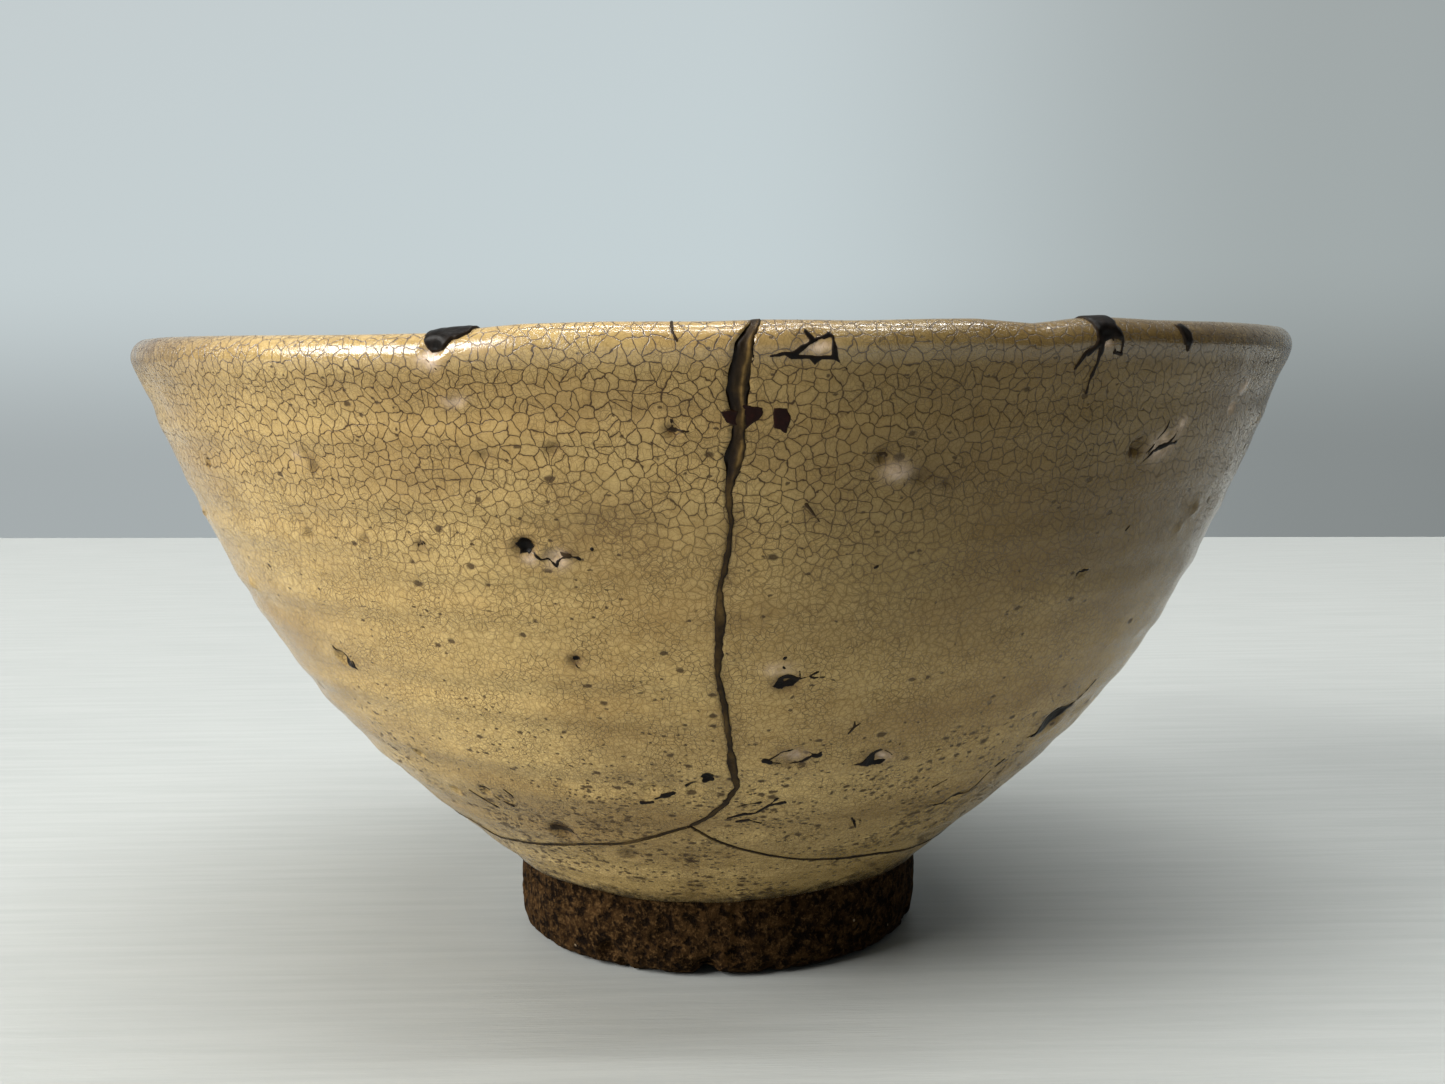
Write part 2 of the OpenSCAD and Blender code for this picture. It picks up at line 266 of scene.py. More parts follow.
BACK = np.array([
    (22.6, -3.2, 1), (33, 1, 1), (44, -2, 1), (55, 2.5, 1), (66, 0.5, 1), (75, 4, 1.3), (90, 6, 1.5),
])
RING = np.array([
    (-150, 20.5), (-31.5, 19.8), (-27.5, 17.8), (-21.5, 19), (-16, 20.6), (-11, 21.6), (-7, 23),
    (JUNCTION_X, JUNCTION_Z), (-1, 22.8), (2.5, 20.7), (6, 19.3), (10, 17.9), (14, 17.1), (20, 16.4),
    (25, 15), (150, 14.2),
])
RING_W = 0.8
RING_GAP = 0.25 * RING_W / math.cos(FLARE)
SEAM_FOOT = JUNCTION_Z + 0.3


def crack(points, z):
    """The middle and the half width of an upright break at a height."""
    return np.interp(z, points[:, 0], points[:, 1]), np.interp(z, points[:, 0], points[:, 2]) / 2


def ring_height(theta, inside=False):
    """The height at which the ring break passes an angle, on the outer or the inner surface."""
    z = np.full(np.shape(theta), 19.0)
    for _ in range(12):
        r = section(inside_at(z) if inside else outside_at(z))[0]
        z = 0.5 * z + 0.5 * np.interp(r * np.sin(theta), RING[:, 0], RING[:, 1])
    return z


def ring_place(theta, inside=False):
    z = ring_height(theta, inside)
    return inside_at(z) if inside else outside_at(z)


# %% [markdown]
# ## Mesh helpers
#
# Every piece here is a grid of points that closes on itself. A grid keeps its own coordinates, so it
# can carry the UV map for the crackle: distances round the bowl and up the wall, both divided by the
# radius, which keeps the small cells of the crackle square from rim to foot.

# %% From grids to meshes
MM = 0.001
CELLS = 40.0
DISC_R, DISC_SHIFT = 75, 300


def build(name, points, faces, uvs=None, marks=None):
    mesh = bpy.data.meshes.new(name)
    mesh.from_pydata((np.asarray(points) * MM).tolist(), [], [tuple(int(i) for i in f) for f in faces])
    if uvs is not None:
        layer = mesh.uv_layers.new(name="glaze_run")
        layer.data.foreach_set("uv", np.asarray(uvs, np.float32).ravel())
    for key, values in (marks or {}).items():
        made = mesh.attributes.new(key, "FLOAT", "POINT")
        made.data.foreach_set("value", np.asarray(values, np.float32))
    mesh.polygons.foreach_set("use_smooth", [True] * len(mesh.polygons))
    mesh.update()
    piece = bpy.data.objects.new(name, mesh)
    bpy.context.scene.collection.objects.link(piece)
    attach(piece, "root")
    return piece


def grid_faces(rows, columns, start=0, closed=False, flip=False):
    """Quads between the rows of a grid; closed joins the last column to the first."""
    i, j = np.meshgrid(np.arange(rows - 1), np.arange(columns if closed else columns - 1), indexing="ij")
    k = (j + 1) % columns
    low, high = i * columns, (i + 1) * columns
    quads = np.stack([low + j, low + k, high + k, high + j], -1).reshape(-1, 4) + start
    return quads[:, ::-1] if flip else quads


run_s = line_s[line[:, 0] > 3]
run_v = np.concatenate([[0], np.cumsum(np.diff(run_s) / line[line[:, 0] > 3, 0][1:])])


def glaze_uv(theta, s, inside):
    """Crackle coordinates: a strip for the outside, a disc well away from it for the inside."""
    reach = (S_END - s) / DISC_R
    disc = np.stack([reach * np.sin(theta) * CELLS + DISC_SHIFT, reach * np.cos(theta) * CELLS], -1)
    strip = np.stack([theta * CELLS, np.interp(s, run_s, run_v) * CELLS], -1)
    return np.where(np.asarray(inside)[..., None], disc, strip)


# %% [markdown]
# ## The two wall sherds
#
# On the real bowl each is a curved slab of clay, glazed inside and out, with a rough broken edge. It
# could be cut from a lathed bowl with booleans, but that leaves a poor mesh along the break. Here
# the grid itself is stretched between the breaks: columns run from the front break to the back one,
# rows from the ring break up the outside, over the lip and down the inside to the ring break again.

# %% Where the edge of a sherd lies: under the lacquer, and ragged where the break gapes
def broken_edge(half, z, side):
    """Distance of the edge from the middle of a break, which has this half width."""
    along = np.stack([z, 0 * z, 0 * z], -1)
    jag = 0.16 * noise(along, 1.3, 50 + side) + 0.1 * noise(along, 0.7, 54 + side)
    return np.maximum(0.5 * half, half - 0.24 + jag * ramp(half, 0.6, 0.9))


# %% The places of a sherd's points
def sherd_places(side, u, rows):
    """Angle and distance along the line; u runs from front to back, rows from 0 to 3, lip from 1 to 2."""
    theta = np.broadcast_to(side * u * math.pi, (len(rows), len(u))).copy()
    for _ in range(4):
        low = ring_place(theta[:1]) + RING_GAP
        end = ring_place(theta[-1:], inside=True) - RING_GAP
        up = low + rows * (S_WALL - low)
        over = S_WALL + (rows - 1) * (S_INNER - S_WALL)
        down = S_INNER + (rows - 2) * (end - S_INNER)
        s = np.where(rows < 1, up, np.where(rows < 2, over, down))
        r, z, _, _ = section(s)
        front_x, front_half = crack(FRONT, z)
        back_x, back_half = crack(BACK, z)
        front = np.arcsin((front_x + side * broken_edge(front_half, z, side)) / r)
        back = side * math.pi - np.arcsin((back_x + side * 0.5 * back_half) / r)
        theta = front + u * (back - front)
    return theta, s


# %% The broken faces of a sherd: below, and at both ends, where outer rows meet inner rows, lip to lip
def broken_faces(side, rows, columns, outer_rows, lip_rows):
    last = (rows - 1) * columns
    below = np.array([(j, j + 1, last + j + 1, last + j) for j in range(columns - 1)])
    half_lip = outer_rows + lip_rows // 2
    outer_edge = np.arange(half_lip + 1)
    pair = np.round(np.interp(outer_edge, [0, outer_rows, half_lip],
                              [rows - 1, outer_rows + lip_rows, half_lip])).astype(int)
    ends = []
    for column, order in ((0, -side), (columns - 1, side)):
        for k in range(half_lip):
            a, b = outer_edge[k] * columns + column, outer_edge[k + 1] * columns + column
            c, d = pair[k + 1] * columns + column, pair[k] * columns + column
            face = [a, b] + ([c] if c != b else []) + ([d] if d not in (c, b) else [])
            if len(set(face)) > 2:
                ends.append(face if order < 0 else face[::-1])
    return below if side < 0 else below[:, ::-1], ends


# %% A wall sherd as one closed grid; its broken faces wear the second material, bare clay
def wall_sherd(name, side, front_columns, back_columns, outer_rows, lip_rows, inner_rows):
    u = np.concatenate([np.linspace(0, 0.5, front_columns, endpoint=False),
                        np.linspace(0.5, 1, back_columns)])
    rows = np.concatenate([np.linspace(0, 1, outer_rows, endpoint=False),
                           1 + np.linspace(0, 1, lip_rows, endpoint=False),
                           2 + np.linspace(0, 1, inner_rows)])[:, None]
    theta, s = sherd_places(side, u, rows)
    points = surface(theta, s).reshape(-1, 3)
    below, ends = broken_faces(side, len(rows), len(u), outer_rows, lip_rows)
    quads = np.concatenate([grid_faces(len(rows), len(u), flip=side < 0), below])
    inside = np.repeat(np.arange(len(quads)) // (len(u) - 1) >= outer_rows + lip_rows, 4)
    corner = quads.ravel()
    uv = [glaze_uv(theta.ravel()[corner], s.ravel()[corner], inside)]
    uv += [glaze_uv(theta.ravel()[f], s.ravel()[f], np.zeros(len(f), bool)) for f in ends]
    every = [list(q) for q in quads] + ends
    piece = build(name, points, every, np.concatenate(uv), paint_marks(theta, s))
    bare_clay = np.zeros(len(every), int)
    bare_clay[(len(rows) - 1) * (len(u) - 1):] = 1
    piece.data.polygons.foreach_set("material_index", bare_clay)
    print(f"{name}: {len(every)} faces, {len(points)} points")
    return piece


# %% [markdown]
# ## Stains, scars and painted shade in the colour
#
# Some colour is tied to a place: brown seepage round the breaks, bare pinkish flakes by the chips, a
# dark band where the glaze ran thin below the lip. It is painted as three numbers on the mesh's
# points, which the materials read. The third number is painted shade: it darkens the glaze's colour
# towards the upper right, so that the bowl turns further into the dark than its light alone would
# take it. Being in the colour and not in the light, it shows from every side. Anything finer than
# half a millimetre is left to the materials.

# %% Where the glaze is stained, bare or speckled: angle, height, half width, half height, strength
STAINS = [
    (-12.5, 58.8, 1.2, 0.9, 0.8), (-16, 59.5, 1.5, 1.3, 0.9), (-3, 71, 1.2, 1.0, 0.8),
    (-12.2, 69.4, 1.2, 0.8, 0.6), (-18, 68.7, 1.2, 0.6, 0.5), (13, 68.2, 1.0, 0.9, 0.8),
    (16.6, 66.3, 1.6, 1.2, 0.6), (18.8, 65.4, 0.8, 0.8, 0.5), (38, 68.1, 1.6, 1.4, 0.55),
    (7.8, 63.1, 0.9, 1.6, 0.35), (2, 70, 6, 5, 0.22), (52, 75.5, 7, 3.2, 0.55), (58, 74, 5, 4.5, 0.6),
    (46, 78.5, 14, 1.6, 0.6), (70, 78.5, 14, 1.8, 0.6), (5, 48, 6, 2.2, 0.3), (4, 52, 5, 1.6, 0.3),
    (-28, 76.5, 9, 2.2, 0.25), (-55, 77, 9, 2.4, 0.35), (-40, 59.5, 0.9, 0.9, 0.6),
    (-32.3, 59.6, 0.8, 0.8, 0.5), (-26.2, 59.3, 0.8, 0.8, 0.6), (-35.6, 67.6, 1.0, 1.5, 0.5),
    (-13.6, 47.1, 0.9, 0.9, 0.9), (-53.2, 66.9, 0.7, 0.9, 0.6), (-8, 33, 9, 5, 0.3),
    (-30, 26, 14, 6, 0.32), (7, 44.4, 1.8, 1.2, 0.7), (8.7, 34.9, 2.6, 1.6, 0.5),
    (19.6, 33.8, 2.0, 1.2, 0.6), (48, 35, 3.6, 1.5, 0.8), (-26, 22.6, 2.4, 1.0, 0.8),
    (0.5, 31, 3, 3, 0.35), (-15.5, 19.4, 1.6, 0.9, 0.7), (-20, 24, 20, 5, 0.2), (15, 22, 20, 5, 0.2),
    (-9, 62, 9, 5, 0.42), (-6, 73, 9, 3, 0.3), (-24, 66, 9, 3, 0.22), (46, 79.5, 18, 2.6, 0.7),
    (110, 60, 12, 8, 0.3), (150, 40, 14, 7, 0.35), (-150, 55, 13, 9, 0.3), (-110, 70, 10, 6, 0.3),
    (178, 66, 6, 12, 0.3), (-66, 80, 24, 3, 0.85), (-84, 74, 10, 9, 0.35),
]
BARE = [
    (-20.9, 78.6, 1.0, 0.9, 1.0), (-17.5, 79.2, 3.0, 0.5, 0.3), (-13.4, 58.2, 1.0, 0.9, 0.7),
    (-15.7, 58.2, 0.8, 0.5, 0.6), (14.4, 66.7, 1.3, 0.9, 0.5), (30.9, 78.9, 0.6, 0.9, 0.9),
    (7.3, 78.5, 1.3, 0.6, 0.6), (41.5, 68, 1.9, 1.3, 0.6), (43.3, 70, 0.9, 1.0, 0.5),
    (9, 35, 1.4, 0.6, 0.5), (20.6, 33.8, 0.8, 0.6, 0.7), (6, 46, 1.6, 0.8, 0.35),
    (53.3, 74, 0.8, 0.8, 0.6), (52.1, 71.6, 0.8, 0.6, 0.6), (-19.6, 74.2, 1.2, 0.6, 0.45),
    (-37.5, 68.4, 0.6, 0.7, 0.3),
]


def spots(table, theta, z):
    total = np.zeros(np.shape(theta))
    for degrees, height, wide, tall, strength in table:
        r = float(section(outside_at(height))[0])
        far = (aside(theta, degrees) * r / wide) ** 2 + ((z - height) / tall) ** 2
        total = np.maximum(total, strength * np.exp(-far))
    return total


def paint_marks(theta, s):
    r, z, _, _ = section(s)
    outside = s < S_LIP
    middle, _ = crack(FRONT, z)
    beside = np.abs(r * np.sin(theta) - middle) + 200 * (np.cos(theta) < 0)
    seep = 0.5 * np.exp(-((beside / 1.3) ** 2)) * (0.6 + 0.4 * noise(turned(theta, r, z), 5, 7))
    stain = np.where(outside, np.maximum(spots(STAINS, theta, z), seep), seep)
    bare = np.where(outside, spots(BARE, theta, z), 0)
    degrees = in_degrees(theta)
    # Painted shade: the glaze colour darkens towards the right and upward, deepening the turn from the light
    rightward = 0.62 * ramp(degrees, -3, 13) + 0.38 * ramp(degrees, 24, 44)
    painted_shade = np.clip(rightward * ramp(z, 38, 63) + 0.25 * ramp(degrees, 4, 18), 0, 1)
    painted_shade = painted_shade * ramp(degrees, 160, 100) * np.where(outside, 1, ramp(s, S_INNER + 5, S_LIP))
    return {"stain": stain.ravel(), "bare": bare.ravel(), "painted_shade": painted_shade.ravel()}


# %% Make the two wall sherds: columns in front and behind, rows outside, over the lip and inside
COLUMNS = ((245, 90))
ROWS = ((185, 20, 84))
left_sherd = wall_sherd("left_wall_sherd", -1, *COLUMNS, *ROWS)
right_sherd = wall_sherd("right_wall_sherd", 1, *COLUMNS, *ROWS)
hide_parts("left_wall", "left_wall_glaze")
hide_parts("right_wall", "right_wall_glaze")

# %% [markdown]
# ## The base sherd
#
# The third sherd holds the foot ring and the well. Its foot was cut with a tool in the leather-hard
# clay and never glazed, so it is coarse, pitted and dark, while glaze covers all above a wavy line
# where the dipping stopped. One lathed grid follows the underside, the foot, the outside up to the
# break, the broken face and the inside, and a number on each point says how far it is above the line.

# %% The foot's own line, with worn corners
def worn(points, times=3):
    """Cuts the corners of a line again and again, as wear does."""
    p = np.array(points, float)
    for _ in range(times):
        q, r = 0.75 * p[:-1] + 0.25 * p[1:], 0.25 * p[:-1] + 0.75 * p[1:]
        p = np.concatenate([p[:1], np.stack([q, r], 1).reshape(-1, 2)[1:-1], p[-1:]])
    return p


def spaced(points, pitch):
    far = np.concatenate([[0], np.cumsum(np.linalg.norm(np.diff(points, axis=0), axis=1))])
    at = np.linspace(0, far[-1], int(far[-1] / pitch) + 2)
    return np.stack([np.interp(at, far, points[:, 0]), np.interp(at, far, points[:, 1])], 1)


foot_line = worn([(0, 4.8), (10.85, 5.6), (20.3, 5.6), (21, 0.7), (21.7, 0), (FOOT_R - 1.4, 0),
                  (FOOT_R, 1.4), (FOOT_R, FOOT_H)])
GLAZE_EDGE = np.array([
    (-180, 10.3), (-120, 10.5), (-64, 10.3), (-53, 10.35), (-45, 10.8), (-39, 11.1), (-31, 10.6),
    (-21, 10.1), (-12.7, 9.75), (-5.7, 9.6), (1.2, 9.6), (9, 10), (17, 10.2), (24, 10.35),
    (30.6, 10.75), (39, 10.45), (47, 10.4), (68, 10.2), (120, 10.5), (180, 10.3),
])
FOOT_PITS = [
    (-31, 2.4, 1.3, 1.1), (-3.4, 1.2, 1.5, 1.5), (-27, 1.2, 1.0, 0.6), (4, 3.0, 1.0, 0.5),
    (-48, 4.6, 0.9, 0.5), (14, 1.0, 1.1, 0.6), (28, 5.2, 0.9, 0.5), (-14, 5.6, 0.8, 0.4),
    (70, 2.0, 1.6, 0.9), (120, 1.5, 1.8, 1.0), (165, 3.2, 1.2, 0.8), (-150, 1.2, 1.5, 0.9),
    (-100, 2.6, 1.3, 0.8), (-75, 6.2, 1.0, 0.5),
]


def above_glaze_edge(theta, p):
    edge = np.interp(in_degrees(theta), GLAZE_EDGE[:, 0], GLAZE_EDGE[:, 1])
    return p[..., 2] - edge - 0.35 * noise(p, 3.1, 21) - 0.2 * noise(p, 1.2, 22)


def clay_relief(theta, p):
    """The coarse surface of the bare foot."""
    total = 0.12 * noise(p, 6.5, 31) + 0.12 * noise(p, 2.1, 32) + 0.12 * noise(p, 0.9, 33) - 0.1
    total = total - 0.3 * ramp(noise(p, 1.5, 34), 0.35, 0.75)
    for degrees, height, radius, depth in FOOT_PITS:
        far = np.hypot(aside(theta, degrees) * FOOT_R, p[..., 2] - height) + 0.3 * noise(p, 1.4, 35)
        total = total - depth * np.exp(-((far / radius) ** 4))
    return total


# %% The points of the base sherd
def base_rows(theta, foot, outer_rows, broken_rows, inner_rows):
    """Grids under the foot, up the outside, across the break and inside; height over the glaze's edge."""
    slope = np.gradient(foot, axis=0)
    out = np.stack([slope[:, 1], -slope[:, 0]], 1) / np.linalg.norm(slope, axis=1)[:, None]
    off = clay_relief(theta, turned(theta, foot[:, :1], foot[:, 1:])) * ramp(foot[:, :1], 3, 12)
    under = turned(theta, foot[:, :1] + off * out[:, :1], foot[:, 1:] + off * out[:, 1:])
    s = np.linspace(0, 1, outer_rows)[:, None] * (ring_place(theta) - RING_GAP)
    side = surface(theta, s)
    _, _, nr, nz = section(s)
    above = above_glaze_edge(theta, side)
    bead = 0.3 * np.exp(-(((above - 0.5) / 0.7) ** 2)) * ramp(above, -0.1, 0.3)
    coarse = clay_relief(theta, side) * ramp(above, 0.2, -0.3)
    fresh = side + (bead + coarse)[..., None] * turned(theta, nr, nz)
    start = ring_place(theta, inside=True) + RING_GAP
    s_in = start + np.linspace(0, 1, inner_rows)[:-1, None] * (S_END - start)
    inside = surface(theta, s_in)
    k = np.linspace(0, 1, broken_rows + 2)[1:-1, None, None]
    broken = fresh[-1:] * (1 - k) + inside[:1] * k
    return [under, fresh, broken, inside], above, s, s_in


# %% Its crackle coordinates, which run on past the back where the grid closes
def base_uv(theta, sizes, faces, s, s_in):
    under, fresh, broken, _ = sizes
    columns = theta.shape[1]
    bare, gap = np.zeros((under, columns)), np.zeros((broken, columns))
    run = np.append(np.concatenate([bare, s, gap, s_in]), [0, S_END])
    angle = np.broadcast_to(theta, (sum(sizes), columns)).ravel()
    first_inside = (under + fresh + broken - 1) * columns
    spin, within = [], []
    for face in faces:
        a = angle[np.array(face) % len(angle)]
        spin.append(np.where(a < a[0] - 3, a + 2 * math.pi, a))
        within.append(np.full(len(face), min(face) >= first_inside))
    return glaze_uv(np.concatenate(spin), run[np.concatenate(faces)], np.concatenate(within))


# %% The base sherd as one closed lathe grid
ALL_CLAY, ALL_GLAZE = -9, 9


def base_sherd(name, columns, foot_pitch, outer_rows, broken_rows, inner_rows):
    theta = np.linspace(-math.pi, math.pi, columns, endpoint=False)[None, :]
    foot = spaced(foot_line, foot_pitch)[1:-1]
    rows, above, s, s_in = base_rows(theta, foot, outer_rows, broken_rows, inner_rows)
    sizes = [len(x) for x in rows]
    count = sum(sizes)
    points = np.concatenate([x.reshape(-1, 3) for x in rows])
    points[:, 2] = np.maximum(points[:, 2], 0)
    points = np.concatenate([points, [[0, 0, foot[0, 1] - 0.05], [0, 0, WELL_Z]]])
    low, high = len(points) - 2, len(points) - 1
    faces = [list(f) for f in grid_faces(count, columns, closed=True)]
    for j in range(columns):
        k = (j + 1) % columns
        faces.append([low, k, j])
        faces.append([high, (count - 1) * columns + j, (count - 1) * columns + k])
    glazed = slice(sizes[0] * columns, (sizes[0] + sizes[1]) * columns)
    height = np.full(len(points), float(ALL_CLAY))
    height[glazed] = above.ravel()
    height[(count - sizes[3]) * columns:low] = ALL_GLAZE
    height[high] = ALL_GLAZE
    painted = paint_marks(np.broadcast_to(theta, s.shape), s)
    # The painted shade is copied onto the glazed outside of the base, together with the stains.
    stain, painted_shade, bare = np.zeros((3, len(points)))
    stain[glazed], painted_shade[glazed] = painted["stain"], painted["painted_shade"]
    marks = {"above_edge": height, "stain": stain, "bare": bare, "painted_shade": painted_shade}
    piece = build(name, points, faces, base_uv(theta, sizes, faces, s, s_in), marks)
    print(f"{name}: {len(faces)} faces, foot stands on {np.count_nonzero(points[:, 2] < 0.001)} points")
    return piece


base = base_sherd("base_sherd", *(((430, 0.36, 64, 3, 44))))
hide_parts("foot_base", "foot_base_glaze", "well_glaze")

# %% [markdown]
# ## The lacquer seams
#
# Lacquer was pressed into each joint, so it fills the gap through the wall, swells over the surface
# on both sides and has a ragged edge where it was scraped back. A seam is a closed band: one skin
# outside, one inside, joined along their edges. Each skin is a little wider than the gap, and dives
# under the glaze at its edges, so the visible outline is where lacquer and glaze really meet.

# %% A closed band between two skins
def slab(top, bottom):
    """Points and faces of the closed solid between two grids of the same size, top seen from outside."""
    rows, columns = top.shape[:2]
    n = rows * columns
    faces = [grid_faces(rows, columns), grid_faces(rows, columns, n, flip=True)]
    ring = np.concatenate([np.arange(columns), np.arange(1, rows) * columns + columns - 1,
                           (rows - 1) * columns + np.arange(columns - 2, -1, -1),
                           np.arange(rows - 2, 0, -1) * columns])
    after = np.roll(ring, -1)
    faces.append(np.stack([after, ring, ring + n, after + n], 1))
    return np.concatenate([top.reshape(-1, 3), bottom.reshape(-1, 3)]), np.concatenate(faces)


def dive(inside, lift, soft=0.14, sunk=0.4):
    """Height of a skin of lacquer: lift well inside its outline, under the glaze outside it."""
    return -sunk + (sunk + lift) * ramp(inside, -1.6 * soft, soft)


def ragged(p, shift, amount=1.0):
    """How far the outline wanders, in millimetres."""
    torn = 0.1 * noise(p, 0.9, shift) + 0.09 * noise(p, 0.42, shift + 1) + 0.07 * noise(p, 2.6, shift + 2)
    return amount * torn


# %% A seam from its two skins
def seam_piece(name, outer_skin, inner_skin, flip):
    """A skin is a grid of points with how golden and how dark each point is."""
    step = -1 if flip else 1
    outer_skin, inner_skin = ([grid[:, ::step] for grid in skin] for skin in (outer_skin, inner_skin))
    points, faces = slab(outer_skin[0], inner_skin[0])
    gold, dark = (np.concatenate([outer_skin[k].ravel(), inner_skin[k].ravel()]) for k in (1, 2))
    piece = build(name, points, faces, marks={"gold": gold, "dark": dark})
    print(f"{name}: {len(outer_skin[0])} rows, {len(faces)} faces")
    return piece


# %% The upright seams: where they are wide, a hollow on the left and a rubbed ridge on the right
def upright_skin(points, inside, at_back, n, columns, shift):
    low = inside_at(SEAM_FOOT) if inside else outside_at(SEAM_FOOT)
    s = np.linspace(low, S_LIP, n)[:, None]
    r, z, _, _ = section(s)
    middle, half = crack(points, z)
    c = np.linspace(-1, 1, columns)[None, :] * (half + 0.5)
    flat = np.stack(np.broadcast_arrays(middle + c, 50.0 * inside, z), -1)
    reach = 0.86 * half - np.abs(c) + ragged(flat, shift) * (1.15 + ramp(z, 62, 70))
    wide = ramp(half, 0.6, 0.95)
    across = c / half
    bend = across - 0.4 - 0.3 * noise(flat, 3.0, shift + 3) - 0.12 * noise(flat, 0.9, shift + 8)
    ridge = np.exp(-((bend / 0.3) ** 2))
    wrinkle = noise(flat * [1.6, 1, 0.7], 0.7, shift + 4)
    wrinkle = wrinkle + 0.6 * noise(flat * [1.8, 1, 1], 0.36, shift + 5)
    gutter = np.exp(-(((across + 0.72) / 0.3) ** 2))
    lift = 0.05 + 0.04 * wrinkle + wide * (0.16 * ridge - 0.2 * gutter - 0.08 + 0.07 * wrinkle) \
        + (1 - wide) * 0.05 * np.exp(-((across / 0.7) ** 2))
    gold = wide * np.exp(-((bend / 0.13) ** 2)) * ramp(noise(flat, 0.8, shift + 6), -0.5, 0.2) \
        + (1 - wide) * 0.3 * ramp(noise(flat * [1, 1, 0.3], 1.1, shift + 7), 0.0, 0.6)
    shade = ramp(across, 0.45, -0.1) * (0.6 + 0.3 * noise(flat, 1.6, shift + 9))
    dark = np.clip(ramp(reach, 0.3, 0.05) + wide * (0.7 * gutter + shade), 0, 1)
    theta = np.arcsin((middle + c) / r)
    return [surface(math.pi - theta if at_back else theta, s, dive(reach, lift)), gold, dark]


def upright_seam(name, points, at_back, pitch, columns, shift):
    n = int((S_LIP - outside_at(SEAM_FOOT)) / pitch)
    skins = [upright_skin(points, inside, at_back, n, columns, shift) for inside in (False, True)]
    skins[1][0][-1] = skins[0][0][-1]
    return seam_piece(name, *skins, flip=at_back)


# %% The ring seams
def ring_skin(theta, inside, columns, shift):
    half = RING_W / 2 * (1 if inside else 0.75)
    c = np.linspace(-1, 1, columns)[None, :] * (half + 0.45)
    s = ring_place(theta, inside) + (-c if inside else c)
    r, z, _, _ = section(s)
    flat = turned(theta, r, z)
    reach = 0.85 * half - np.abs(c) + ragged(flat, shift)
    lift = 0.04 + 0.04 * np.exp(-((c / (0.7 * half)) ** 2)) + 0.05 * noise(flat, 0.8, shift + 4)
    gold = 0.35 * ramp(noise(flat, 1.3, shift + 7), 0.0, 0.6)
    return [surface(theta, s, dive(reach, lift)), gold, ramp(reach, 0.22, 0.02)]


def ring_seam(name, from_angle, to_angle, pitch, columns, shift):
    n = int(abs(to_angle - from_angle) * 38 / pitch)
    theta = np.linspace(from_angle, to_angle, n)[:, None]
    skins = [ring_skin(theta, inside, columns, shift) for inside in (False, True)]
    return seam_piece(name, *skins, flip=to_angle > from_angle)


# %% Make the seams
fine = 1
front_angle = math.asin(JUNCTION_X / float(section(outside_at(JUNCTION_Z))[0]))
front_seam = upright_seam("front_seam_lacquer", FRONT, False, 0.22 * fine, 22, 40)
back_seam = upright_seam("back_seam_lacquer", BACK, True, 0.3 * fine, 16, 60)
left_ring = ring_seam("left_ring_seam_lacquer", front_angle, -math.pi + 0.005, 0.3 * fine, 12, 80)
right_ring = ring_seam("right_ring_seam_lacquer", front_angle, math.pi - 0.005, 0.3 * fine, 12, 90)
for seam, node in ((front_seam, "front_seam"), (back_seam, "back_seam"), (left_ring, "left_ring_seam"),
                   (right_ring, "right_ring_seam")):
    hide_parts(node)

# %% [markdown]
# ## Fills, patches and burst pits
#
# Where the lip chipped and where grit blew out of the clay, the mender filled the hole with lacquer.
# Each fill is a small sheet that follows the wall. Its outline is the one cut from the clay, drawn
# as distance round the wall and height, which goes on past the lip's top as distance down the
# inside. The fill's own height comes from the distance to that outline: proud inside, sunk below the
# glaze outside. Fine cracks are lines with a width, joined to it.

# %% Distances to outlines and lines
def to_segments(x, z, points, closed):
    """Distance into a closed outline, or less than nothing outside it and away from an open line."""
    p = np.array(points, float)
    q = np.roll(p, -1, axis=0) if closed else p[1:]
    p = p if closed else p[:-1]
    best = np.full(x.shape, 1e9)
    inside = np.zeros(x.shape, bool)
    for (ax, az), (bx, bz) in zip(p, q):
        ux, uz = bx - ax, bz - az
        k = np.clip(((x - ax) * ux + (z - az) * uz) / max(ux * ux + uz * uz, 1e-9), 0, 1)
        best = np.minimum(best, np.hypot(x - ax - k * ux, z - az - k * uz))
        if closed and az != bz:
            inside ^= ((az > z) != (bz > z)) & (x < ux * (z - az) / uz + ax)
    return np.where(inside, best, -best) if closed else -best


# %% One sheet of lacquer over its outlines, and a piece made of several
MARGIN, FILL_DEPTH = 0.7, 1.2


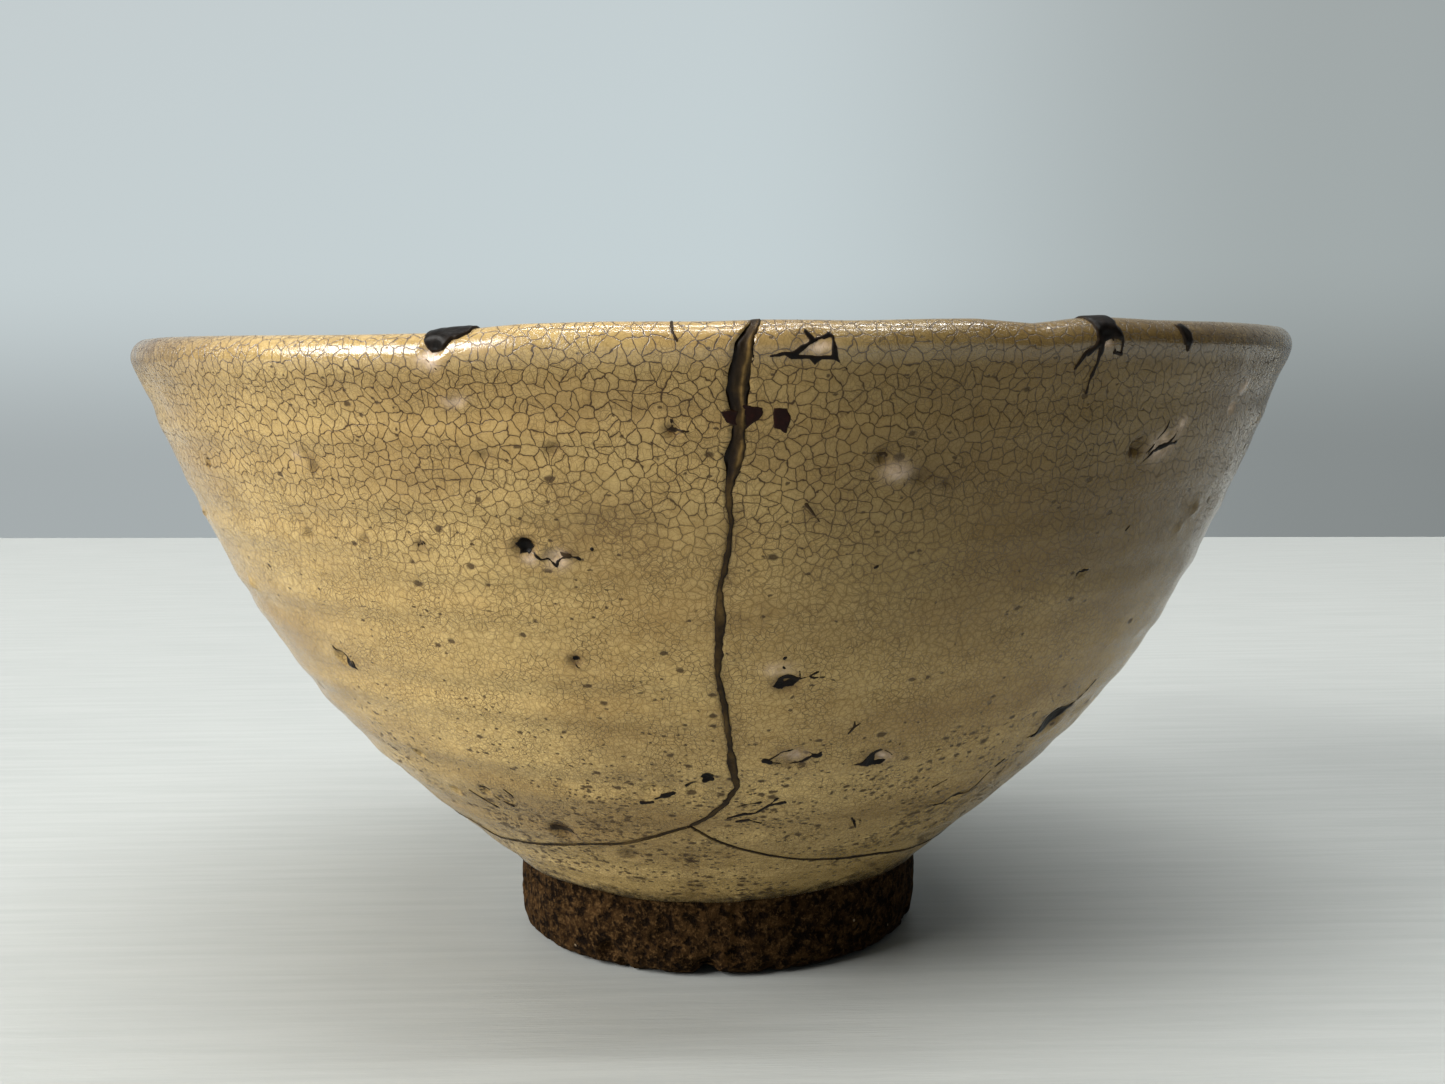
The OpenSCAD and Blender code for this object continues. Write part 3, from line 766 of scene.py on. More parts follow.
def fill_sheet(k, sheet, cell):
    """Grids of the top and the underside, and of how near each point is to the outline."""
    outlines, holes, lines = (sheet.get(key, []) for key in ("outlines", "holes", "lines"))
    drawn = np.concatenate([np.array(o, float) for o in [*outlines, *(points for _, points in lines)]])
    (x_low, z_low), (x_high, z_high) = drawn.min(0), drawn.max(0)
    low = outside_at(z_low - MARGIN)
    high = inside_at(sheet["inside_to"]) if "inside_to" in sheet \
        else outside_at(min(z_high + MARGIN, BOWL_H))
    s = np.linspace(low, high, int((high - low) / cell) + 2)[:, None]
    across = int((x_high - x_low + 2 * MARGIN) / cell) + 2
    r, z, _, _ = section(s)
    x, z = np.broadcast_arrays(np.linspace(x_low - MARGIN, x_high + MARGIN, across)[None, :],
                               np.where(s > S_LIP, BOWL_H + s - S_LIP, z))
    reach = np.full(z.shape, -9.0)
    for outline in outlines:
        reach = np.maximum(reach, to_segments(x, z, outline, True))
    for outline in holes:
        reach = np.minimum(reach, -to_segments(x, z, outline, True))
    for width, points in lines:
        reach = np.maximum(reach, width / 2 + to_segments(x, z, points, False))
    flat = np.stack([x, z, np.full(z.shape, 7.0 * k)], -1)
    reach = reach + ragged(flat, 100 + k, sheet.get("rough", 1.0))
    lift = sheet["lift"] * (0.55 + 0.45 * ramp(reach, 0, sheet.get("dome", 0.5)))
    lift = lift + 0.03 * noise(flat, 0.5, 120 + k)
    theta = math.radians(sheet["angle"]) + np.arcsin(x / r)
    top = surface(theta, s, dive(reach, lift, sheet.get("soft", 0.1)))
    return top, surface(theta, s, -FILL_DEPTH + 0 * reach), ramp(reach, 0.25, 0.0)


def fill_sheets(name, node, sheets, cell=0.11):
    """sheets: dicts with an angle, outlines (+ holes), lines [(width, points)], a lift and softness."""
    all_points, all_faces, edge, tone, start = [], [], [], [], 0
    for k, sheet in enumerate(sheets):
        top, under, near = fill_sheet(k, sheet, cell * (1))
        points, faces = slab(top, under)
        all_points.append(points)
        all_faces.append(faces + start)
        start += len(points)
        edge += [near.ravel(), near.ravel()]
        tone.append(np.full(len(points), sheet.get("tone", 0.0)))
    piece = build(name, np.concatenate(all_points), np.concatenate(all_faces),
                  marks={"edge": np.concatenate(edge), "tone": np.concatenate(tone)})
    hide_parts(node)
    print(f"{name}: {len(sheets)} fills, {start} points")
    return piece


# %% The fills of the lip, the star crack and the patches beside the seam
left_fill = fill_sheets("left_rim_fill_lacquer", "left_rim_fill", [
    {"angle": -19.8, "lift": 0.5, "dome": 1.4, "rough": 0.8, "inside_to": 77.4,
     "outlines": [[(-2.1, 82.3), (-2, 80.2), (-1.2, 79.1), (0.2, 79.4), (1.2, 80.1), (2.6, 80.6), (2.8, 81.9),
                   (2.2, 83.3), (0.8, 84.2), (-0.9, 83.8)]]}])
right_fill = fill_sheets("right_rim_fill_lacquer", "right_rim_fill", [
    {"angle": 31.2, "lift": 0.26, "inside_to": 77.4,
     "outlines": [[(-2.3, 82.2), (-1.9, 80.4), (-1.6, 78.9), (-2.9, 77.6), (-2.5, 77.3), (-1.4, 78.1),
                   (-1.1, 76.4), (-1.2, 74.5), (-0.8, 76.4), (-0.7, 78.3), (0.5, 78.9), (1.4, 78.6),
                   (1.9, 77.4), (1.9, 79.2), (1.3, 80.2), (1.5, 82), (0.7, 83.4), (-0.6, 84),
                   (-1.7, 83.5)]],
     "lines": [(0.28, [(-1.0, 76.6), (-1.3, 75.3), (-1.1, 73.6)]), (0.25, [(-2.8, 77.6), (-3.6, 76.2)]),
               (0.3, [(0.4, 79.2), (0.9, 77.6), (1.9, 77.4)])]}])
small_fill = fill_sheets("small_rim_fill_lacquer", "small_rim_fill", [
    {"angle": 40.1, "lift": 0.28,
     "outlines": [[(-1.3, 80.6), (-0.2, 80.6), (0.8, 79.9), (1.0, 78.9), (0.3, 77.8), (-0.6, 78.5),
                   (-1.1, 79.7)]]}])
star = fill_sheets("star_crack_lacquer", "star_crack_fill", [
    {"angle": 7.1, "lift": 0.1, "rough": 0.8,
     "outlines": [[(-2.9, 78), (-2, 77.4), (-0.3, 77.4), (0.2, 76.9), (0.8, 77.4), (2, 77.4),
                   (2.8, 76.8), (2.3, 77.9), (2, 79.6), (1.4, 80), (0.2, 79.4), (-0.7, 80.3), (-1, 80),
                   (-0.4, 79.1), (-1.9, 78.2)]],
     "holes": [[(-1.3, 77.85), (0.4, 77.75), (1.65, 77.85), (1.6, 79.3), (0.5, 79.05)]],
     "lines": [(0.22, [(-2.8, 77.9), (-3.9, 77.7)]), (0.22, [(2.6, 77), (3.3, 76.5)]),
               (0.2, [(-0.8, 80.1), (-1.1, 81)]), (0.2, [(0.9, 77.8), (1.0, 79.2)])]}])
patches = fill_sheets("seam_patches_lacquer", "seam_patches", [
    {"angle": 0, "lift": 0.06, "rough": 0.9,
     "outlines": [[(0.3, 72.9), (2.4, 72.6), (2.4, 71.2), (1.2, 71.6)]]},
    {"angle": 0, "lift": 0.07, "rough": 0.9,
     "outlines": [[(2.6, 73.3), (4.8, 72.9), (4.6, 72.1), (2.9, 70.8)]]},
    {"angle": 0, "lift": 0.07, "rough": 0.9,
     "outlines": [[(5.6, 72.9), (7, 72.9), (7.4, 72), (6.9, 70.5), (5.6, 71)]]}])


# %% The burst pits with the cracks that run from them
def burst(angle, height, width, tall, tilt, lines=(), holes=(), lift=0.09, tone=0.0):
    """A pit with pointed ends. Lines and holes are relative to its middle, lines as (width, points)."""
    h = width / 2
    shape = np.array([(-h, -0.1 * tall), (-0.45 * h, 0.4 * tall), (0.2 * h, 0.5 * tall), (h, 0.1 * tall),
                      (0.4 * h, -0.45 * tall), (-0.4 * h, -0.5 * tall)])
    c, s = math.cos(math.radians(tilt)), math.sin(math.radians(tilt))
    shape = shape @ np.array([[c, s], [-s, c]]) + [0, height]
    return {"angle": angle, "lift": lift, "rough": 1.3, "soft": 0.08, "tone": tone, "outlines": [shape],
            "lines": [(w, [(x, z + height) for x, z in p]) for w, p in lines],
            "holes": [[(x, z + height) for x, z in p] for p in holes]}


def dark_line(angle, height, *lines, tone=0.0):
    return {"angle": angle, "lift": 0.1, "rough": 1.0, "soft": 0.08, "tone": tone,
            "lines": [(w, [(x, z + height) for x, z in p]) for w, p in lines]}


bursts = fill_sheets("burst_pit_lacquer", "burst_fills", [
    burst(-16, 59.5, 2.2, 1.9, -20, [(0.3, [(0.7, -0.5), (1.5, -1.3), (2.1, -1.2), (2.9, -2), (3.0, -1.5)]),
                                     (0.2, [(3.0, -1.5), (4.3, -0.8), (5.4, -1.2)])]),
    burst(-44.5, 44, 2.4, 1.3, -50, [(0.22, [(-1.3, 1.9), (-0.2, 0.4), (0.6, -0.6), (1.0, 0.2)])]),
    burst(7, 44.4, 3.2, 1.6, 15, [(0.25, [(1.2, 0.4), (2.2, 0.8), (2.8, 0.5), (4.0, 0.6)]),
                                  (0.2, [(1.4, 0.4), (1.2, 1.4)]),
                                  (0.2, [(-1.2, -0.3), (-2.3, -0.9)]), (0.16, [(2.2, 0.8), (3.2, 1.2)])],
          [[(-0.2, -0.1), (0.6, 0.1), (0.4, 0.35), (-0.3, 0.2)]]),
    burst(19.6, 33.8, 4.3, 2.1, 5, [(0.2, [(1.6, 0.6), (2.2, 1.7)]), (0.2, [(-1.8, -0.3), (-2.9, -0.5)]),
                                    (0.16, [(0.4, 0.7), (1.0, 1.4)])],
          [[(0.1, -0.45), (1.3, -0.35), (1.5, 0.3), (0.7, 0.55), (0.1, 0.2)]]),
    burst(48, 35, 7, 2.4, 35, [(0.3, [(2.4, 1.6), (3.8, 3.0), (4.6, 4.2)]),
                               (0.25, [(-2.4, -1.5), (-3.6, -2.2)])]),
    burst(39.5, 25.1, 3.2, 1, 20, [(0.28, [(1.2, 0.4), (2.2, 1.6), (2.4, 3.0), (3.4, 5)]),
                                   (0.2, [(-1.4, -0.4), (-2.6, -0.6)]),
                                   (0.18, [(1.4, 0.5), (2.6, 0.7)])]),
    burst(37.9, 68, 3, 1.5, 55, [], lift=0.02, tone=0.8),
    dark_line(41, 68, (0.42, [(-1.7, -1.6), (-0.6, -0.5), (0.3, -0.4), (1.6, 0.1), (3.2, 0.3)]),
              (0.24, [(-1.5, -1.4), (-1.3, -0.3), (-0.4, 0.5), (0.2, 1.4), (0.4, 2.7)]),
              (0.22, [(-0.6, -0.5), (-0.5, 0.3)]), (0.2, [(1.6, 0.1), (2.4, 1.0), (2.6, 1.6)]),
              (0.2, [(-1.6, -1.6), (-2.1, -0.9), (-1.4, -0.3)])),
    dark_line(8.7, 34.9, (0.3, [(-3, -0.4), (-1.8, -0.6), (-0.2, -1.0), (1.2, -0.7), (2.2, 0.1), (3.2, 0.4)]),
              (0.24, [(-2.6, -0.3), (-1.2, 0.6), (0.4, 0.9), (1.8, 0.6), (2.6, 0.1)]),
              (0.6, [(2.4, 0.1), (3.1, 0.1)]), (0.6, [(-2.9, -0.3), (-2.2, -0.5)]),
              (0.16, [(-1.2, 0.6), (-2.0, 0.9)])),
    dark_line(-1.2, 32.5, (0.95, [(-0.2, 0), (0.3, 0.1)])),
    dark_line(-2.8, 31.2, (0.7, [(-0.9, -0.1), (0.1, 0.2)]), (0.8, [(1.2, 0.8), (1.9, 0.9)])),
    dark_line(-6.5, 29.6, (0.7, [(-0.5, 0), (0.7, 0.3)]), (0.3, [(-1.4, -0.4), (-0.5, 0)])),
    dark_line(-9.2, 28.6, (0.5, [(-0.8, 0), (0.5, 0.1)])),
    dark_line(6.5, 27.6, (0.4, [(-4, -1.6), (-2.4, -0.9), (-1.0, -0.8), (0.4, 0.4), (2.2, 0.7)]),
              (0.26, [(-3.4, 0.1), (-2.2, 0.7), (-0.6, 0.9)]), (0.24, [(0.4, 0.4), (1.2, 1.4)])),
    dark_line(4.2, 25.6, (0.6, [(-1.2, -0.2), (0.2, 0.1)]), (0.4, [(0.2, 0.1), (1.6, -0.6)])),
    dark_line(21.7, 23.8, (0.4, [(-0.7, 0.8), (0, 0), (0.6, -0.9)]), (0.3, [(0, 0), (0.7, 0.2)]),
              (0.22, [(0.6, -0.9), (0.2, -1.4)])),
    dark_line(-26, 22.6, (0.8, [(-1.3, 0.2), (0, -0.1), (1.2, -0.1)]), (0.3, [(1.2, -0.1), (2.4, -0.3)]),
              tone=0.35),
    dark_line(-35.2, 27.9, (0.5, [(-0.5, 0.3), (0.2, -0.1)]), (0.3, [(0.6, -0.6), (1.0, -1.3)]), tone=0.3),
    dark_line(-31, 27.2, (0.3, [(0, 1.4), (0.5, 0.6), (0.2, 0)]), (0.6, [(-1.8, -0.9), (-1.0, -1.3)]),
              tone=0.35),
    dark_line(-37.5, 26, (0.4, [(-1.4, 1.2), (-0.2, 0)]), (0.3, [(-0.2, 0), (0.8, -0.9)]), tone=0.3),
    dark_line(-43.7, 32, (0.4, [(-0.6, 0.2), (0.5, -0.1)]), tone=0.5),
    dark_line(-13.6, 47.1, (0.75, [(-0.1, 0), (0.2, 0.1)]), (0.2, [(-0.1, -0.5), (0.3, -0.8)])),
    dark_line(-12.4, 58.7, (0.55, [(-0.5, 0.1), (0.3, 0)]), tone=0.5),
    dark_line(-3, 71, (0.5, [(-0.3, 0.1), (0.2, 0)]), (0.22, [(-0.1, 0.9), (0, 0.1)]),
              (0.2, [(0.2, 0), (1.5, -0.1)]), tone=0.3),
    dark_line(-10.2, 59.3, (0.42, [(0, 0), (0.1, 0.1)])),
    dark_line(36.9, 54.4, (0.6, [(-0.4, -0.1), (0.4, 0.2)]), (0.4, [(0.7, 0.3), (0.9, 0.3)])),
    dark_line(13.9, 56.9, (0.35, [(-0.1, 0), (0.1, 0.1)])),
    dark_line(41.2, 59, (0.3, [(-0.3, -0.2), (0.2, 0.3)])),
    dark_line(7.8, 63.1, (0.3, [(-0.6, 0.6), (0.2, -0.3), (0.9, -1.2)]), tone=0.6),
    dark_line(13.2, 68.2, (0.45, [(-0.3, 0.1), (0.2, 0.1)]), tone=0.6),
    dark_line(15, 65.9, (0.2, [(-0.4, 0.7), (0.1, 0), (0.2, -0.5)]), tone=0.3),
    dark_line(6.5, 47.3, (0.45, [(0, 0), (0.1, 0.1)]), (0.3, [(0, -0.9), (0.1, -1)])),
    dark_line(-53.2, 66.9, (0.35, [(-0.2, 0.4), (0.2, -0.4)])),
    dark_line(-26.2, 59.3, (0.4, [(-0.3, -0.1), (0.4, 0.2)]), tone=0.5),
    dark_line(-19.8, 78.4, (0.16, [(-0.8, -0.3), (0.2, -0.7), (0.9, -0.2)]), tone=0.3),
    dark_line(-2.7, 79.9, (0.24, [(-0.2, 1.0), (0, 0), (0.4, -0.7)]), tone=0.3),
    dark_line(15.3, 38.5, (0.26, [(-0.5, -0.9), (0, 0), (-0.2, 0.7)]), (0.2, [(0, 0), (0.5, 0.4)]), tone=0.3),
    dark_line(33, 28.5, (0.2, [(-1.0, -0.5), (0.6, 0.4)]), tone=0.4),
    dark_line(-20, 79.2, (0.18, [(-1.4, -0.6), (-0.4, -1.6)]), tone=0.3),
])

# %% [markdown]
# ## Writing materials
#
# A material here is a small tree of nodes. The helper below adds a node, sets its plain values and
# links whatever comes from other nodes, so that each finish can be read from top to bottom.

# %% A helper for node trees
class Tree:
    def __init__(self, name):
        self.material = bpy.data.materials.new(name)
        self.material.use_nodes = True
        self.nodes, self.links = self.material.node_tree.nodes, self.material.node_tree.links
        self.nodes.clear()

    def add(self, kind, out=0, setup=None, **inputs):
        """Adds a node; values are numbers or other nodes' outputs. Returns the output asked for."""
        node = self.nodes.new("ShaderNode" + kind)
        for key, value in (setup or {}).items():
            setattr(node, key, value)
        for key, value in inputs.items():
            numbered = key[0] == "i" and key[1:].isdigit()
            socket = node.inputs[int(key[1:]) if numbered else key.replace("_", " ")]
            if isinstance(value, bpy.types.NodeSocket):
                self.links.new(value, socket)
            else:
                socket.default_value = value
        return node.outputs[out] if len(node.outputs) else node

    def math(self, operation, a, b=0.0, clamp=False):
        return self.add("Math", setup={"operation": operation, "use_clamp": clamp}, i0=a, i1=b)

    def times(self, a, b, clamp=False):
        return self.math("MULTIPLY", a, b, clamp)

    def plus(self, a, b):
        return self.math("ADD", a, b)

    def minus(self, a, b):
        return self.math("SUBTRACT", a, b)

    def most(self, a, b):
        return self.math("MAXIMUM", a, b)

    def step(self, value, low, high, to_low=0.0, to_high=1.0):
        """An even, soft step from one value to another."""
        return self.add("MapRange", setup={"interpolation_type": "SMOOTHSTEP"},
                        i0=value, i1=low, i2=high, i3=to_low, i4=to_high)

    def mixed(self, amount, a, b):
        return self.add("Mix", setup={"data_type": "FLOAT"}, i0=amount, i2=a, i3=b)

    def moved(self, where, by, amount):
        """A place moved by another vector times an amount."""
        return self.add("VectorMath", setup={"operation": "MULTIPLY_ADD"}, i0=by, i1=amount, i2=where)

    def cells(self, where, scale, out=0, randomness=1.0, **setup):
        return self.add("TexVoronoi", out, setup, Vector=where, Scale=scale, Randomness=randomness)

    def chance(self, where, scale, randomness=1.0, **setup):
        """A random number for each of the same cells."""
        return self.add("SeparateColor", Color=self.cells(where, scale, 1, randomness, **setup))

    def height(self):
        return self.add("SeparateXYZ", 2, Vector=self.place())

    def place(self):
        return self.add("TexCoord", 3)

    def blend(self, amount, a, b):
        return self.add("Mix", 2, setup={"data_type": "RGBA"}, i0=amount, i6=a, i7=b)

    def grain(self, where, scale, detail=2.0, rough=0.5, out=0):
        return self.add("TexNoise", out, Vector=where, Scale=scale, Detail=detail, Roughness=rough)

    def number(self, name):
        return self.add("Attribute", 2, setup={"attribute_name": name})

    def stretched(self, where, x, y, z):
        return self.add("Mapping", Vector=where, Scale=(x, y, z))

    def finish(self, **inputs):
        shader = self.add("BsdfPrincipled", **inputs)
        self.add("OutputMaterial", Surface=shader)
        return self.material


def colour(r, g, b):
    return (r, g, b, 1.0)


# %% [markdown]
# ## The crackled glaze
#
# The glaze is a thin glassy coat that shrank more than the clay, so it cracked into small cells, and
# years of tea stained the cracks brown. Cell edges come from a Voronoi texture read as distance to
# the edge, in the crackle map, with a slight warp. A coarse net of dark cracks is strongest near the
# rim, and a finer and paler one takes over lower down. Under the net the ochre itself drifts: greyer
# near the rim, yellower and sandier towards the foot.

# %% The net of cracks
COARSE, FINE, TINY = 1.42, 2.35, 4.3
EDGE = {"voronoi_dimensions": "2D", "feature": "DISTANCE_TO_EDGE"}


def crackle_map(tree):
    run = tree.add("UVMap", setup={"uv_map": "glaze_run"})
    warp = tree.add("TexNoise", 1, setup={"noise_dimensions": "2D"}, Vector=run, Scale=0.8, Detail=3.0)
    return run, tree.moved(run, warp, (0.75, 0.75, 0.0))


def net_nodes(tree, run, warped, coarse):
    """Three nets of cracks: the coarse one rules near the rim, the finer ones below."""
    strong = tree.step(tree.grain(run, 0.35, 3.0), 0.35, 0.62)
    wander = tree.times(tree.minus(tree.grain(tree.place(), 45.0, 3.0), 0.5), 0.03)
    rimward = tree.step(tree.plus(tree.height(), wander), 0.046, 0.07)
    line_a = tree.step(coarse, 0.014, 0.06, 1.0, 0.0)
    line_b = tree.step(tree.cells(warped, FINE, **EDGE), 0.01, 0.08, 1.0, 0.0)
    line_c = tree.step(tree.cells(warped, TINY, **EDGE), 0.0, 0.1, 1.0, 0.0)
    a = tree.times(line_a, tree.plus(tree.times(rimward, 0.78), 0.16))
    b = tree.times(line_b, tree.minus(tree.plus(tree.times(strong, 0.4), 0.42), tree.times(rimward, 0.3)))
    c = tree.times(line_c, tree.plus(tree.times(strong, 0.25), 0.16))
    return tree.most(tree.most(a, b), c)


# %% The ochre under it, sandier and yellower towards the foot
def ochre_nodes(tree, place, high, sand, warped):
    band = tree.grain(tree.stretched(place, 1.0, 1.0, 3.2), 26.0, 5.0, 0.6)
    cloud = tree.grain(place, 55.0, 4.0, 0.6)
    ochre = tree.blend(tree.step(high, 0.018, 0.062), colour(0.80, 0.57, 0.23), colour(0.44, 0.30, 0.113))
    ochre = tree.blend(tree.step(band, 0.35, 0.72), ochre, colour(0.34, 0.215, 0.074))
    ochre = tree.blend(tree.step(cloud, 0.4, 0.75, 0.0, 0.45), ochre, colour(0.70, 0.51, 0.21))
    ochre = tree.blend(tree.step(sand, 0.35, 0.75, 0.0, 0.42), ochre, colour(0.24, 0.145, 0.04))
    tint = tree.chance(warped, COARSE, 0.95, voronoi_dimensions="2D")
    return tree.blend(tree.times(tint, 0.14), ochre, colour(0.56, 0.43, 0.2))


# %% Iron specks and smears, thick near the foot
SPECKS = ((330.0, 0.26), (620.0, 0.36), (1350.0, 0.42))


def speck_nodes(tree, place, high):
    patch = tree.step(tree.grain(place, 110.0, 3.0), 0.38, 0.6, 0.15, 1.3)
    footward = tree.times(tree.step(high, 0.042, 0.022, 0.035, 0.8), patch)
    frayed = tree.moved(tree.stretched(place, 1.0, 1.0, 1.5), tree.grain(place, 1800.0, 3.0, 0.6, 1),
                        (0.0008, 0.0008, 0.0005))
    dots = 0.0
    for scale, size in SPECKS:
        speck = tree.step(tree.cells(frayed, scale), 0.5 * size, size, 1.0, 0.0)
        here = tree.math("LESS_THAN", tree.chance(frayed, scale), footward)
        dots = tree.most(dots, tree.times(speck, here))
    smear = tree.grain(tree.stretched(place, 1.0, 1.0, 2.4), 520.0, 5.0, 0.7)
    low_down = tree.times(tree.step(high, 0.036, 0.02, 0.0, 0.75), patch)
    return tree.most(tree.times(dots, 0.88), tree.times(tree.step(smear, 0.54, 0.64), low_down))


# %% The glaze's nodes together
def glaze_nodes(tree):
    """Colour, roughness and bump height of the glaze."""
    place, high = tree.place(), tree.height()
    sand = tree.grain(place, 1100.0, 4.0, 0.7)
    run, warped = crackle_map(tree)
    coarse = tree.cells(warped, COARSE, 0, 0.95, **EDGE)
    net = net_nodes(tree, run, warped, coarse)
    ochre = ochre_nodes(tree, place, high, sand, warped)
    # Tea along the cracks, then the stains, the cracks, the specks, the painted shade and the bare flakes
    ochre = tree.blend(tree.step(coarse, 0.0, 0.22, 0.24, 0.0), ochre, colour(0.17, 0.09, 0.022))
    patchy = tree.step(tree.grain(place, 420.0, 4.0, 0.7), 0.3, 0.62, 0.45, 1.2)
    ochre = tree.blend(tree.times(tree.number("stain"), patchy, True), ochre, colour(0.08, 0.038, 0.010))
    ochre = tree.blend(net, ochre, colour(0.034, 0.014, 0.003))
    dots = speck_nodes(tree, place, high)
    ochre = tree.blend(dots, ochre, colour(0.05, 0.026, 0.008))
    # Painted shade: the glaze colour is darkened towards deep brown on the upper right
    ochre = tree.blend(tree.number("painted_shade"), ochre, tree.blend(0.68, ochre, colour(0.046, 0.027, 0.004)))
    flaky = tree.step(tree.grain(place, 900.0, 3.0), 0.35, 0.6, 0.5, 1.3)
    ochre = tree.blend(tree.times(tree.number("bare"), flaky, True), ochre, colour(0.66, 0.50, 0.37))
    # Gloss and relief
    gloss = tree.step(tree.grain(place, 140.0, 3.0), 0.3, 0.7, 0.08, 0.17)
    gloss = tree.plus(gloss, tree.times(tree.most(net, dots), 0.4))
    skin = tree.times(tree.grain(place, 330.0, 3.0), 0.5)
    skin = tree.plus(skin, tree.times(sand, tree.step(high, 0.036, 0.02, 0.16, 1.1)))
    skin = tree.minus(skin, tree.times(net, 0.3))
    skin = tree.minus(skin, tree.times(dots, 0.55))
    return ochre, gloss, skin


# %% The glaze of the wall sherds, which is glassier on the lip
GLAZE_BUMP = {"Strength": 0.55, "Distance": 0.00016}
CLAY_BUMP = {"Strength": 0.9, "Distance": 0.0005}
GLAZE_IOR, GLAZE_SHINE, LIP_SHINE = 1.52, 0.2, 0.75


def glaze_finish():
    tree = Tree("ochre_crackle_glaze")
    ochre, gloss, skin = glaze_nodes(tree)
    bump = tree.add("Bump", Height=skin, **GLAZE_BUMP)
    shine = tree.step(tree.height(), 0.0765, 0.0785, GLAZE_SHINE, LIP_SHINE)
    return tree.finish(Base_Color=ochre, Roughness=gloss, Normal=bump, IOR=GLAZE_IOR,
                       Specular_IOR_Level=shine)


# %% [markdown]
# ## Bare clay
#
# The foot is iron-bearing stoneware that burnt nearly black in the kiln, with pale grit, rusty
# patches and a rubbed, lighter edge where it has stood on tables. It is rough, so it has almost no
# highlight. On the base sherd it meets the glaze along the wavy line of the number kept on the mesh,
# through a scorched band.

# %% The clay's nodes
def clay_nodes(tree):
    place = tree.place()
    rust = tree.grain(place, 420.0, 6.0, 0.7)
    clay = tree.blend(tree.step(rust, 0.38, 0.66), colour(0.008, 0.0036, 0.0009),
                      colour(0.046, 0.023, 0.0075))
    fine = tree.grain(place, 1600.0, 4.0, 0.75)
    clay = tree.blend(tree.step(fine, 0.47, 0.68, 0.0, 0.8), clay, colour(0.105, 0.058, 0.022))
    soot = tree.grain(place, 760.0, 4.0, 0.65)
    clay = tree.blend(tree.step(soot, 0.48, 0.62, 0.0, 0.92), clay, colour(0.004, 0.002, 0.001))
    grit = tree.step(tree.cells(place, 800.0), 0.08, 0.2, 0.8, 0.0)
    grains = tree.times(grit, tree.math("LESS_THAN", tree.chance(place, 800.0), 0.015))
    clay = tree.blend(grains, clay, colour(0.36, 0.27, 0.17))
    skin = tree.plus(tree.times(fine, 0.6), rust)
    skin = tree.minus(skin, tree.times(tree.step(soot, 0.52, 0.68), 0.5))
    return clay, skin


def clay_finish():
    tree = Tree("bare_stoneware")
    clay, skin = clay_nodes(tree)
    bump = tree.add("Bump", Height=skin, **CLAY_BUMP)
    return tree.finish(Base_Color=clay, Roughness=0.85, Normal=bump, Specular_IOR_Level=0.08)


def base_finish():
    tree = Tree("glaze_over_bare_foot")
    ochre, gloss, glaze_skin = glaze_nodes(tree)
    clay, clay_skin = clay_nodes(tree)
    place = tree.place()
    fray = tree.times(tree.minus(tree.grain(place, 700.0, 5.0, 0.75), 0.5), 4.5)
    above = tree.plus(tree.number("above_edge"), fray)
    scorch = tree.times(tree.step(above, 2.6, 0.3), 0.9)
    ochre = tree.blend(scorch, ochre, colour(0.022, 0.014, 0.005))
    cover = tree.step(above, -0.25, 0.25)
    both = tree.blend(cover, clay, ochre)
    rough = tree.mixed(cover, 0.95, gloss)
    clay_height = tree.times(clay_skin, tree.minus(1.0, cover))
    clay_bump = tree.add("Bump", Height=clay_height, **CLAY_BUMP)
    bump = tree.add("Bump", Height=tree.times(glaze_skin, cover), Normal=clay_bump, **GLAZE_BUMP)
    shine = tree.mixed(cover, 0.05, GLAZE_SHINE)
    return tree.finish(Base_Color=both, Roughness=rough, Normal=bump, IOR=GLAZE_IOR,
                       Specular_IOR_Level=shine)


# %% [markdown]
# ## The lacquers
#
# Tree lacquer dries hard and dark. The long seams were once dusted with metal powder, now rubbed down
# to an olive brown with dull tan on the high parts; the chips are plain black lacquer, and the
# patches beside the front seam are red-black. All are smoother than clay and duller than glaze.

# %% The seam lacquer and the black and red-black lacquers
def seam_finish():
    tree = Tree("worn_seam_lacquer")
    place = tree.place()
    cloud = tree.grain(place, 600.0, 4.0, 0.65)
    brown = tree.blend(tree.step(cloud, 0.35, 0.68), colour(0.017, 0.0085, 0.0018),
                       colour(0.05, 0.029, 0.008))
    rubbed = tree.step(tree.grain(place, 1500.0, 4.0, 0.7), 0.3, 0.6, 0.5, 1.1)
    gold = tree.times(tree.number("gold"), rubbed, True)
    brown = tree.blend(gold, brown, colour(0.20, 0.12, 0.036))
    brown = tree.blend(tree.times(tree.number("dark"), 0.9), brown, colour(0.006, 0.003, 0.0015))
    bump = tree.add("Bump", Strength=0.5, Distance=0.0002, Height=cloud)
    return tree.finish(Base_Color=brown, Roughness=tree.step(cloud, 0.3, 0.7, 0.4, 0.6), Normal=bump,
                       Specular_IOR_Level=0.12)


def fill_finish(name, deep, worn_tone, brown_tone, rough):
    tree = Tree(name)
    place = tree.place()
    cloud = tree.grain(place, 900.0, 4.0, 0.65)
    lacquer = tree.blend(tree.step(cloud, 0.45, 0.75), colour(*deep), colour(*worn_tone))
    lacquer = tree.blend(tree.number("tone"), lacquer, colour(*brown_tone))
    lacquer = tree.blend(tree.times(tree.number("edge"), 0.35), lacquer, colour(0.045, 0.026, 0.012))
    bump = tree.add("Bump", Strength=0.4, Distance=0.00015, Height=cloud)
    return tree.finish(Base_Color=lacquer, Roughness=tree.step(cloud, 0.3, 0.7, rough, rough + 0.14),
                       Normal=bump, Specular_IOR_Level=0.1)


